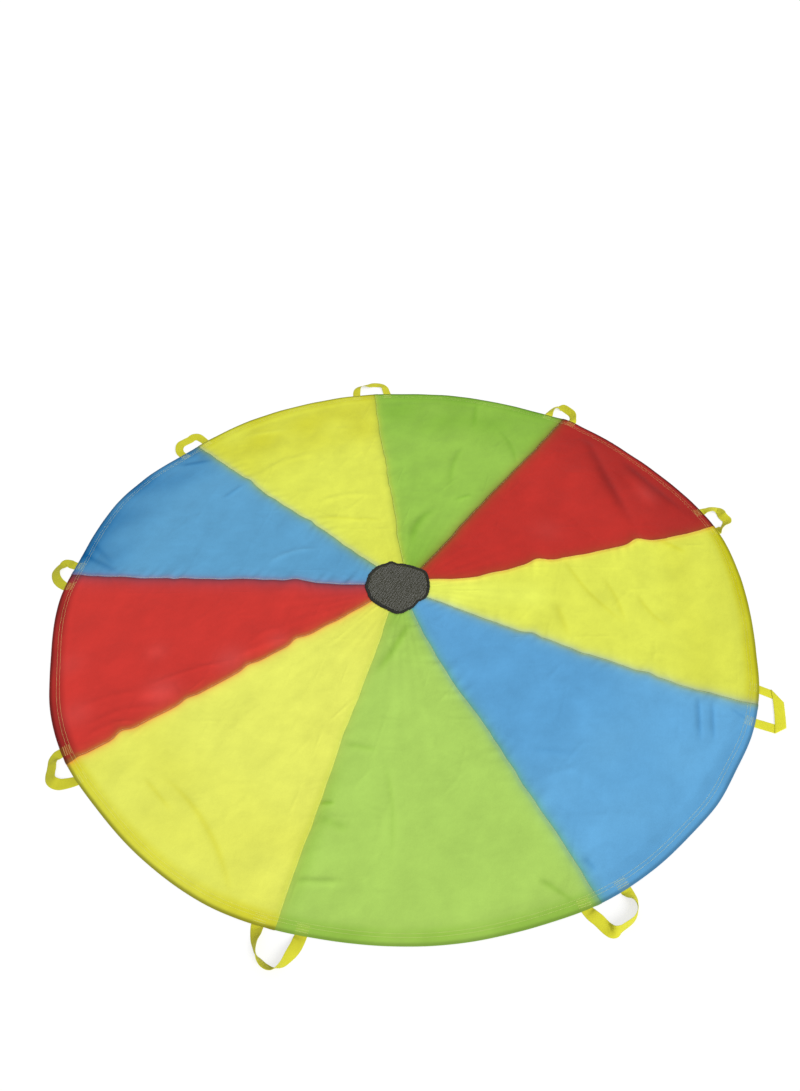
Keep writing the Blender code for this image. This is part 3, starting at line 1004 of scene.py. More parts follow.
@dataclass(frozen=True)
class SeamSide:
    """What a seam's painted light and shade do to the cloth on one side, within a reach in mm.

    The gain is painted shade beside the seam, and a painted highlight where it is
    positive. The glow is painted light bounced off the other cloth: how much of its
    colour this one takes. Through is how much of its light has passed the other cloth.
    """

    painted_gain: float
    glow: float
    through: float
    reach: float

    def tint(self, colour: np.ndarray, other: Dye, distance: np.ndarray) -> np.ndarray:
        """Paint light and shade beside the seam into colours: it fades as exp(-distance).

        Args:
            colour: Linear colours.
            other: The other cloth's dye.
            distance: Distance of each place from the seam.

        Returns:
            The changed colours.
        """
        near = np.exp(-np.clip(distance, 0.0, None) / (self.reach * MM))[..., None]
        beyond = other.layers(np.zeros_like(distance))
        passed = beyond / beyond.max(axis=-1, keepdims=True)
        colour = colour + (beyond - colour) * self.glow * near
        return colour * (1 + (passed - 1) * self.through * near) * (1 + self.painted_gain * near)


# For each seam, the painted shade, highlight and bounced light of its side on the gore before it
# and on the gore after it.
SEAM_PAINTED_LIGHT = (
    (SeamSide(-0.2, 0.22, 0, 9), SeamSide(-0.06, 0.42, 0, 9)),
    (SeamSide(-0.42, 0.35, 0, 10), SeamSide(-0.65, 0.2, 0, 10)),
    (SeamSide(-0.35, 0.08, 0, 10), SeamSide(0.5, 0.6, 0, 9)),
    (SeamSide(-0.06, 0.5, 0, 9), SeamSide(-0.27, 0.39, 0.41, 9)),
    (SeamSide(-0.05, 0.2, 0.55, 9), SeamSide(-0.12, 0.34, 0, 8)),
    (SeamSide(-0.15, 0.25, 0, 8), SeamSide(0.0, 0.2, 0, 8)),
    (SeamSide(0.35, 0.7, 0, 10), SeamSide(-0.25, 0.15, 0, 9)),
    (SeamSide(-0.65, 0.2, 0, 16), SeamSide(-0.15, 0.3, 0, 8)),
    (SeamSide(-0.19, 0.29, 0.6, 10), SeamSide(0.05, 0.36, 0, 9)),
)


@dataclass(frozen=True)
class PaintedHighlight:
    """A painted highlight: a soft place where taut cloth is painted pale, as if it
    caught the light, in mm, with its reach and strength.
    """

    place: tuple[float, float]
    reach: float
    pale: float

    def at(self, x: np.ndarray, y: np.ndarray) -> np.ndarray:
        """Give the share of painted white: it falls off as exp(-distance squared)."""
        away = np.hypot(x / MM - self.place[0], y / MM - self.place[1]) / self.reach
        return self.pale * np.exp(-away**2)


PAINTED_HIGHLIGHTS = (
    PaintedHighlight((-584, -317), 40, 0.022), PaintedHighlight((-620, -195), 28, 0.012),
    PaintedHighlight((-775, -375), 36, 0.014), PaintedHighlight((-430, -225), 40, 0.02),
    PaintedHighlight((-315, -168), 28, 0.016), PaintedHighlight((-830, -230), 36, 0.01),
    PaintedHighlight((735, 355), 40, 0.01), PaintedHighlight((420, 215), 45, 0.008),
)


@dataclass
class Gore:
    """One wedge of the canopy: hemmed at the rim, turned in at its first seam edge."""

    plan: ClothPlan
    number: int
    colour: str
    dye: Dye
    dye_before: Dye
    dye_after: Dye
    shading: Shading
    strap_width: float
    strap_tint: Tint
    cloth: float = 0.13 * MM
    see_through: float = 0.06
    row_step: float = 4.2 * MM
    middle_columns: int = 100
    hub_fade: float = 220 * MM
    tuck: float = 6.5 * MM
    inner_reach: float = 0.15
    inner_step: float = 2.8 * MM
    hem_step: float = 2.2 * MM
    rim_round: float = 1.2 * MM
    edge_steps_mm: tuple[float, ...] = (0.8, 2.5, 4.5, 6.5, 8.5, 10.5, 13, 16, 20)
    allowance_steps_mm: tuple[float, ...] = (0.8, 3, 6.5, 10)

    def profile(self) -> tuple[np.ndarray, ...]:
        """Give the rows: out from the hub, round the rim and back under the hem.

        Returns:
            Radius, drop under the top of the hem, and the outward and upward parts
            of the way in which layers stack, for each row.
        """
        plan = self.plan
        inner = np.arange(plan.hub - self.tuck, self.inner_reach, self.inner_step)
        hem = plan.rim - plan.hem_width - plan.hem_slope
        middle = np.arange(inner[-1] + 4 * MM, hem, self.row_step)
        outer = np.arange(hem, plan.rim - self.rim_round, self.hem_step)
        top = np.concatenate([inner, middle, outer])
        turns = np.linspace(math.pi / 2, -math.pi / 2, 7)
        round_rim = plan.rim - plan.hem_turn + plan.hem_turn * np.cos(turns)
        drop = plan.hem_turn * (1 - np.sin(turns))
        under = np.linspace(plan.rim - self.rim_round, plan.rim - plan.hem_width, 10)
        radius = np.concatenate([top, round_rim, under])
        drops = np.concatenate([0 * top, drop, np.full(len(under), 2 * plan.hem_turn)])
        out = np.concatenate([0 * top, np.cos(turns), 0 * under])
        up = np.concatenate([np.ones(len(top)), np.sin(turns), -np.ones(len(under))])
        return radius, drops, out, up

    def across(self, radius: np.ndarray) -> tuple[np.ndarray, np.ndarray]:
        """Give each row's columns: the turned-in edge, the panel, and the allowance.

        Args:
            radius: The rows' radii.

        Returns:
            Distance clockwise from the first seam, and how many layers lie below.
        """
        plan = self.plan
        first = plan.seam_angle(self.number, radius)
        width = ((first - plan.seam_angle(self.number + 1, radius)) * radius)[:, None]
        turned = np.array(self.allowance_steps_mm[::-1]) * MM
        edge = np.array(self.edge_steps_mm) * MM
        share = np.linspace(0.0, 1.0, self.middle_columns + 2)[1:-1]
        share = share - 0.5 * np.sin(2 * math.pi * share) / (2 * math.pi)
        middle = edge[-1] + (width - 2 * edge[-1]) * share
        past = np.array((0.0,) + self.allowance_steps_mm[1:]) * MM
        ones = np.ones_like(width)
        crease, before = -0.25 * MM * ones, width - edge[::-1]
        away = [ones * turned, crease, ones * edge, middle, before, width + past]
        away = np.concatenate(away, axis=1)
        layers = np.where(np.arange(away.shape[1]) < len(turned), 1.0, 0.0)[None, :] * ones
        layers[:, len(turned)] = 1.5
        on_top = np.arange(away.shape[1]) > len(turned)
        fade = 1 - smoothstep(plan.allowance, 1.6 * plan.allowance, away)
        layers = layers + 2.0 * on_top * fade
        return away, layers

    def colours(self, radius: np.ndarray, angle: np.ndarray, away: np.ndarray) -> np.ndarray:
        """Give each point's colour: deeper where layers lie, tinted by what is near, with
        painted shade and highlights.

        The last few millimetres before the rim get painted shade, as if they turned away from the
        light.

        Args:
            radius: Radius of each point.
            angle: Angle of each point.
            away: Distance clockwise from the first seam.

        Returns:
            Linear red, green and blue.
        """
        plan = self.plan
        x, y = plan.place(radius, angle)
        patchy = 1 + 0.2 * Ripple(90 + self.number, 0.16).at(x, y)
        shading = self.shading
        hem = smoothstep(plan.rim - 42 * MM, plan.rim - 17 * MM, radius)
        seam = 1 - smoothstep(plan.allowance - 1 * MM, plan.allowance + 2 * MM, away)
        # Painted shade at the hub and towards the rim; a negative depth is a painted highlight.
        hub_shade_ramp = 1 - smoothstep(plan.hub, plan.hub + self.hub_fade, radius)
        edge_start, edge_end = plan.rim - shading.edge_from * MM, plan.rim - shading.edge_to * MM
        edge = smoothstep(edge_start, edge_end, radius)
        deep = shading.hub * hub_shade_ramp + shading.edge * edge + shading.hem * hem
        deep = deep * patchy + 0.1 * seam
        # Painted shade along each fold, and a painted highlight where its crease is negative.
        deep = deep + sum(fold.crease * fold.line(x, y, 0.7) for fold in FOLDS)
        colour = self.dye.layers(np.clip(deep, -0.5, 1.4))
        # Painted highlights: white mixed in where taut cloth would catch the light.
        colour = colour + (1 - colour) * sum(highlight.at(x, y) for highlight in PAINTED_HIGHLIGHTS)[..., None]
        below = self.dye_before.layers(np.ones_like(deep))
        colour = colour + (below - colour) * (self.see_through * seam)[..., None]
        to_next = -plan.beside_seam(self.number + 1, radius, angle)
        # Painted shade, highlight and bounced light beside both seams.
        colour = SEAM_PAINTED_LIGHT[self.number - 1][1].tint(colour, self.dye_before, away)
        colour = SEAM_PAINTED_LIGHT[self.number % plan.seams][0].tint(colour, self.dye_after, to_next)
        # Painted shade on the hem's fold in the last millimetres before the rim.
        crease = smoothstep(plan.rim - 10 * MM, plan.rim - 2 * MM, radius)
        colour = colour * (1 - shading.fold * crease)[..., None]
        strap, half = np.zeros_like(deep), self.strap_width / 2
        for centre in plan.feet:
            beside = np.abs(turn_between(angle, centre)) * radius
            strap += 1 - smoothstep(half - 2 * MM, half + 3 * MM, beside)
        strap = strap * smoothstep(plan.rim - 24 * MM, plan.rim - 20 * MM, radius)
        share = (self.see_through * np.clip(strap, 0, 1))[..., None]
        return colour + (self.strap_tint.linear() - colour) * share

    def build(self, finish: bpy.types.Material, planes: RisePlanes) -> bpy.types.Object:
        """Make the gore and colour it.

        Args:
            finish: The taffeta material.
            planes: Not used.

        Returns:
            The piece.
        """
        plan = self.plan
        rows, drops, out, up = self.profile()
        away, layers = self.across(rows)
        angle = plan.seam_angle(self.number, rows)[:, None] - away / rows[:, None]
        radius = np.broadcast_to(rows[:, None], away.shape)
        rise = layers * plan.layer
        x, y = plan.place(radius + out[:, None] * rise, angle)
        z = plan.height(radius, angle) - drops[:, None] + up[:, None] * rise
        length = np.concatenate([[0.0], np.cumsum(np.hypot(np.diff(rows), np.diff(drops)))])
        uv = np.stack([away, np.broadcast_to(length[:, None], away.shape)], axis=-1)
        faces = grid_faces(*away.shape).tolist()
        name = f"cloth_{self.number}_{self.colour}"
        piece = make_piece(name, np.stack([x, y, z], axis=-1), faces, finish, uv)
        colour = np.ones((away.size, 4), dtype=np.float32)
        colour[:, :3] = self.colours(radius, angle, away).reshape(-1, 3)
        layer = piece.data.attributes.new("cloth_colour", "FLOAT_COLOR", "POINT")
        layer.data.foreach_set("color", colour.ravel())
        wall = piece.modifiers.new("cloth", "SOLIDIFY")
        wall.thickness = self.cloth
        wall.offset = 0.0
        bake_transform(piece)
        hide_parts(f"gore_{self.number}_{self.colour}")
        return piece


# Sewing

@dataclass(frozen=True)
class Sewing:
    """A row of machine stitches of one thread."""

    pitch: float = 3.8 * MM
    gap: float = 1.1 * MM
    radius: float = 0.24 * MM
    sides: int = 6
    stations: tuple[float, ...] = (0.0, 0.14, 0.5, 0.86, 1.0)
    rises: tuple[float, ...] = (-0.9, 0.35, 0.75, 0.35, -0.9)
    girths: tuple[float, ...] = (0.55, 0.95, 1.0, 0.95, 0.55)

    def build(self, name: str, path: np.ndarray, finish: bpy.types.Material,
              breaks: np.ndarray | None = None) -> bpy.types.Object:
        """Sew along a path: each stitch dips into the cloth at its two ends.

        Args:
            name: The piece's name.
            path: Points on the cloth, close together.
            finish: The thread's material.
            breaks: True for each step of the path that carries no thread.

        Returns:
            The piece.
        """
        steps = np.linalg.norm(np.diff(path, axis=0), axis=1)
        along = np.concatenate([[0.0], np.cumsum(steps)])
        count = int(along[-1] // self.pitch)
        starts = (np.arange(count) + 0.5) * along[-1] / count - self.pitch / 2 + self.gap / 2
        if breaks is not None:
            cell = np.searchsorted(along, starts + self.pitch / 2, side="right") - 1
            starts = starts[~breaks[np.clip(cell, 0, len(breaks) - 1)]]
        places = starts[:, None] + np.array(self.stations) * (self.pitch - self.gap)
        centres = np.stack([np.interp(places, along, path[:, axis]) for axis in range(3)], axis=-1)
        heading = unit(centres[:, -1:] - centres[:, :1]) * np.ones_like(centres)
        side = unit(np.cross(heading, UP))
        ups = np.cross(side, heading)
        centres = centres + ups * (np.array(self.rises) * self.radius)[None, :, None]
        turns = np.linspace(0.0, 2 * math.pi, self.sides, endpoint=False)
        outline = self.radius * np.stack([np.cos(turns), np.sin(turns)], axis=1)
        girth = np.array(self.girths)[None, :, None]
        rings = tube_rings(centres, side * girth, ups * girth, outline)
        stitch = len(self.stations) * self.sides
        quads = grid_faces(len(self.stations), self.sides, ring=True)
        begins = (np.arange(len(starts)) * stitch)[:, None]
        faces = (quads[None] + begins[..., None]).reshape(-1, 4)
        first = np.arange(self.sides)[::-1] + begins
        last = np.arange(stitch - self.sides, stitch) + begins
        around = np.broadcast_to(turns / (2 * math.pi), rings.shape[:-1])
        uv = np.stack([around, np.broadcast_to(places[..., None], rings.shape[:-1])], axis=-1)
        faces = faces[:, ::-1].tolist() + first[:, ::-1].tolist() + last[:, ::-1].tolist()
        return make_piece(name, rings, faces, finish, uv)


@dataclass
class CanopySewing:
    """The two rows round the hem and the row along each seam."""

    plan: ClothPlan
    outer_inset: float = 16.5 * MM
    row_spacing: float = 7 * MM
    seam_inset: float = 2.2 * MM
    path_step: float = 2 * MM
    over: float = 0.14 * MM

    def hem_row(self, name: str, node: str, inset: float, finish: bpy.types.Material) -> None:
        """Sew one row round the hem, on top.

        Args:
            name: The piece's name.
            node: The node that it replaces.
            inset: Its distance from the rim.
            finish: The thread's material.
        """
        plan = self.plan
        count = int(2 * math.pi * plan.rim / self.path_step)
        angle = np.linspace(0.0, 2 * math.pi, count + 1)
        radius = np.full(len(angle), plan.rim - inset)
        x, y = plan.rim * np.cos(angle), plan.rim * np.sin(angle)
        wander = 0.5 * MM * Ripple(5, 0.4).at(x, y)
        path = plan.surface(radius + wander, angle, self.over)
        piece = Sewing().build(name, path, finish)
        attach(piece, "canopy")
        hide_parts(node)

    def seam_row(self, number: int, finish: bpy.types.Material) -> None:
        """Sew one seam from the hub to the hem, just inside its folded edge.

        Args:
            number: The seam.
            finish: The thread's material.
        """
        plan = self.plan
        radius = np.arange(plan.hub + 5 * MM, plan.rim - plan.hem_width - 4 * MM, self.path_step)
        inset = self.seam_inset + 0.3 * MM * Ripple(60 + number, 0.08).at(radius, 0.0)
        angle = plan.seam_angle(number, radius) - inset / radius
        path = plan.surface(radius, angle, self.over)
        piece = Sewing().build(f"seam_thread_{number}", path, finish)
        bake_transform(piece)
        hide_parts(f"seam_stitching_{number}")

    def build(self, finish: bpy.types.Material, planes: RisePlanes) -> None:
        """Sew every row.

        Args:
            finish: The thread's material.
            planes: Not used.
        """
        self.hem_row("hem_thread_outer", "hem_stitching_outer", self.outer_inset, finish)
        inner = self.outer_inset + self.row_spacing
        self.hem_row("hem_thread_inner", "hem_stitching_inner", inner, finish)
        for number in range(1, self.plan.seams + 1):
            self.seam_row(number, finish)
        LOG.info("sewed 2 hem rows and %d seams", self.plan.seams)


# Centre

@dataclass
class Centre:
    """The net that lets the air out, the tape round it and the tape's thread."""

    plan: ClothPlan
    pitch: float = 3.7 * MM
    turn: float = 0.21
    strand_width: float = 2.85 * MM
    strand_thick: float = 0.34 * MM
    weave_rise: float = 0.2 * MM
    net_height: float = 1.75 * MM
    net_reach: float = 0.13
    probe_step: float = 0.25 * MM
    shortest: int = 24
    tape_narrow: float = 6.0 * MM
    tape_wide: float = 11.0 * MM
    tape_wide_deg: float = -125.0
    tape_thick: float = 1.3 * MM
    tape_height: float = 2.75 * MM
    tape_steps: int = 360

    def strand(self, offset: float, crosswise: bool, parity: int) -> np.ndarray | None:
        """Lay one flat strand, over and under the others in turn.

        The strand runs where the net is inside the tape. Its height is a cosine of
        the place along it, a half turn for each pitch.

        Args:
            offset: Its distance from the middle of the net.
            crosswise: Whether it belongs to the first set and not to the second.
            parity: 0 or 1, whether it starts over or under.

        Returns:
            Its rings of points, or None past the net's edge.
        """
        count = round(2 * self.net_reach / self.probe_step) + 1
        probe = np.linspace(-self.net_reach, self.net_reach, count)
        x, y = (probe, offset) if crosswise else (offset, probe)
        edge = self.plan.hub_reach(np.arctan2(y, x) + self.turn) - self.tape_narrow / 2
        inside = probe[np.hypot(x, y) < edge]
        if len(inside) < self.shortest:
            return None
        count = max(4, int((inside[-1] - inside[0]) / (self.pitch / 2)))
        along = np.linspace(inside[0], inside[-1], count)
        lift = self.weave_rise * np.cos(math.pi * (along / self.pitch + parity))
        other = np.full_like(along, offset) + 0.15 * MM * Ripple(9, 0.03).at(along, offset)
        x, y = (along, other) if crosswise else (other, along)
        cosine, sine = math.cos(self.turn), math.sin(self.turn)
        x, y = cosine * x - sine * y, sine * x + cosine * y
        bow = 0.5 * MM * Ripple(31, 0.12).at(x, y)
        centres = np.stack([x, y, self.net_height + lift + bow], axis=1)
        heading = unit(np.gradient(centres, axis=0))
        side = unit(np.cross(heading, UP))
        ups = np.cross(side, heading)
        half, thick = self.strand_width / 2, self.strand_thick / 2
        shares = np.array([(1, 0), (0.75, 1), (-0.75, 1), (-1, 0), (-0.75, -1), (0.75, -1)])
        return tube_rings(centres, side, ups, shares * [half, thick])

    def net(self, finish: bpy.types.Material) -> bpy.types.Object:
        """Weave the net from its two sets of strands.

        Args:
            finish: The net's material.

        Returns:
            The piece.
        """
        reach = int(self.net_reach / self.pitch)
        points, faces, uvs, start = [], [], [], 0
        for crosswise in (False, True):
            for place in range(-reach, reach + 1):
                rings = self.strand(place * self.pitch, crosswise, (place + crosswise) % 2)
                if rings is None:
                    continue
                rows, sides = rings.shape[:2]
                quads = grid_faces(rows, sides, ring=True, start=start)[:, ::-1]
                faces += quads.tolist()
                last = start + rows * sides - 1
                faces += [list(range(start, start + sides)), list(range(last, last - sides, -1))]
                points.append(rings.reshape(-1, 3))
                uvs.append(rings.reshape(-1, 3)[:, :2])
                start += rows * sides
        piece = make_piece("net_weave", np.concatenate(points), faces, finish, np.concatenate(uvs))
        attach(piece, "centre")
        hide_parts("centre_net")
        return piece

    def tape_line(self, share: float, over: float) -> np.ndarray:
        """Give a closed line round the tape at a share of its width from the outside.

        Args:
            share: 0 at the tape's outer edge, 1 at its inner edge.
            over: Height over the tape's middle.

        Returns:
            The line's points.
        """
        angle = np.linspace(0.0, 2 * math.pi, self.tape_steps, endpoint=False)
        ruffle = self.ring_noise(77, 0.17, angle) * 0.7 * MM * (1 - 0.6 * share)
        out = self.plan.hub_reach(angle) + 2 * MM + ruffle - share * self.width(angle)
        high = self.tape_height + over + 0.3 * MM * self.ring_noise(78, 0.12, angle)
        return np.stack([out * np.cos(angle), out * np.sin(angle), high], axis=1)

    def ring_noise(self, seed: int, wavelength: float, angle: np.ndarray) -> np.ndarray:
        """Give closed noise round the circle, with a wavelength on a radius of 2."""
        return Ripple(seed, wavelength).at(2 * np.cos(angle), 2 * np.sin(angle))

    def width(self, angle: np.ndarray) -> np.ndarray:
        """Give the width of tape that shows: narrow, but wide on one side."""
        turn = turn_between(angle, math.radians(self.tape_wide_deg))
        return self.tape_narrow + (self.tape_wide - self.tape_narrow) * bell(turn, 0.0, 0.9)

    def tape(self, finish: bpy.types.Material) -> bpy.types.Object:
        """Bind the hub: a soft flat tube whose section is a rounded oblong.

        Args:
            finish: The tape's material.

        Returns:
            The piece.
        """
        turns = np.linspace(0.0, 2 * math.pi, 16, endpoint=False)
        shape = np.sign(np.cos(turns)) * np.abs(np.cos(turns)) ** 0.5
        depth = np.sign(np.sin(turns)) * np.abs(np.sin(turns)) ** 0.7
        outer, inner = self.tape_line(0.0, 0.0), self.tape_line(1.0, 0.0)
        centres, half = (outer + inner) / 2, (outer - inner) / 2
        angle = np.linspace(0.0, 2 * math.pi, self.tape_steps, endpoint=False)
        crumple = 1 + 0.25 * self.ring_noise(79, 0.08, angle)
        ups = np.stack([0 * angle, 0 * angle, crumple], axis=1)
        outline = np.stack([shape, depth * self.tape_thick / 2], axis=1)
        rings = tube_rings(centres, half, ups, outline)
        rings = np.concatenate([rings, rings[:1]])
        index = grid_faces(self.tape_steps + 1, len(turns), ring=True)
        index = index % (self.tape_steps * len(turns))
        across = np.broadcast_to(turns / (2 * math.pi) * 2 * self.tape_narrow, rings.shape[:-1])
        along = np.linspace(0.0, 2 * math.pi * self.plan.hub, self.tape_steps + 1)[:, None]
        uv = np.stack([across, np.broadcast_to(along, across.shape)], axis=-1)
        piece = make_piece("hub_tape", rings[:-1], index.tolist(), finish, uv[:-1])
        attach(piece, "centre")
        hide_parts("centre_binding")
        return piece

    def thread(self, finish: bpy.types.Material) -> bpy.types.Object:
        """Sew the tape down near its inner edge.

        Args:
            finish: The thread's material.

        Returns:
            The piece.
        """
        line = self.tape_line(0.55, self.tape_thick / 2 + 0.05 * MM)
        path = np.concatenate([line, line[:1]])
        sewing = Sewing(pitch=3.2 * MM, gap=0.6 * MM, radius=0.3 * MM)
        piece = sewing.build("hub_thread", path, finish)
        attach(piece, "centre")
        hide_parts("binding_stitching")
        return piece


# Handles

class Shape(Enum):
    """How a handle's strap is laid."""

    FOLDED = "folded flat across at its corners"
    LOOPED = "one loop that rolls and twists"


@dataclass(frozen=True)
class Strap:
    """The webbing of one handle, laid as it fell.

    Points run from the anticlockwise foot round to the clockwise one: sideways place,
    distance beyond the rim, and least height, all in mm, and roll in degrees. A
    positive roll lifts the inner edge of the loop. Sideways counts anticlockwise from
    the seam's plain ray.
    """

    number: int
    shape: Shape
    points: tuple[tuple[float, float, float, float], ...]
    bend_end: float = 14 * MM


STRAPS = (
    Strap(1, Shape.LOOPED, (
        (77, 0, 0, 0), (76, 19, 0, 1), (71, 36, 1, 19), (60, 45, 1, 33), (48, 47, 1, 30),
        (32, 51, 1, 13), (17, 57, 1, 2), (0, 57, 0, 3), (-14, 50, 0, 8), (-23, 37, 0, 11),
        (-26, 19, 0, 6), (-29, 0, 0, 0))),
    Strap(2, Shape.LOOPED, (
        (41, 0, 0, 0), (43, 17, 0, 32), (42, 36, 0, 40), (34, 53, 0, 18), (22, 59, 0, -20),
        (9, 54, 0, -36), (-5, 47, 0, -40), (-20, 40, 0, -40), (-31, 29, 0, -42), (-38, 14, 0, -34),
        (-43, 0, 0, 0))),
    Strap(3, Shape.LOOPED, (
        (53, 0, 0, 0), (52, 17, 1, 22), (52, 34, 1, 13), (44, 47, 1, -5), (31, 46, 1, -22),
        (20, 42, 1, -33), (9, 43, 1, -23), (-2, 45, 1, -22), (-13, 38, 0, -32), (-22, 26, 0, -50),
        (-29, 11, 0, -52), (-31, 0, 0, 0)), bend_end=40 * MM),
    Strap(4, Shape.FOLDED, ((56, 0, 0, 0), (52, 41, 0, 0), (-42, 55, 0, 0), (-46, 0, 0, 0))),
    Strap(5, Shape.LOOPED, (
        (58, 0, 0, 0), (58, 15, 0, 28), (59, 27, 0, 58), (56, 39, 0, 78), (47, 49, 0, 84),
        (35, 55, 0, 83), (23, 57, 0, 81), (11, 58, 0, 79), (0, 59, 0, 72), (-8, 58, 0, 50),
        (-14, 54, 0, 24), (-18, 46, 0, 12), (-21, 37, 0, 12), (-24, 27, 0, 14), (-30, 13, 0, 12),
        (-32, 0, 0, 0)), bend_end=50 * MM),
    Strap(6, Shape.LOOPED, (
        (44, 0, 0, 0), (43, 20, 0, 26), (37, 42, 0, 52), (29, 60, 0, 84), (16, 70, 0, 114),
        (-1, 68, 0, 126), (-14, 61, 0, 113), (-26, 50, 0, 82), (-33, 36, 0, 64), (-38, 20, 0, 30),
        (-44, 0, 0, 0)), bend_end=40 * MM),
    Strap(7, Shape.LOOPED, (
        (49, 0, 0, 0), (44, 18, 0, 9), (37, 33, 0, 15), (28, 40, 1, 23), (16, 42, 1, 24),
        (3, 38, 0, 24), (-9, 31, 0, 22), (-21, 25, 0, 22), (-32, 18, 0, 6), (-38, 9, 0, -3),
        (-39, 0, 0, 0))),
    Strap(8, Shape.LOOPED, (
        (61, 0, 0, 0), (52, 16, 0, 8), (40, 30, 0, 10), (25, 40, 0, 17), (11, 45, 0, 18),
        (-4, 43, 0, 15), (-14, 39, 0, 6), (-24, 34, 0, -9), (-26, 24, 0, -3), (-20, 12, 0, -3),
        (-17, 0, 0, 0))),
    Strap(9, Shape.LOOPED, (
        (82, 0, 0, 0), (81, 18, 0, -8), (72, 34, 0, -18), (58, 45, 0, -26), (40, 46, 0, -23),
        (23, 44, 0, -20), (6, 45, 0, -22), (-4, 37, 0, -20), (-9, 19, 0, -9), (-9, 0, 0, 0))),
)

# Painted light and shade on each handle's webbing: how much brighter or darker its colour is
# drawn, against the finish's own colour.
STRAP_PAINTED_LIGHT = (0.87, 0.98, 0.96, 1.12, 1.0, 0.88, 0.78, 0.7, 0.8)


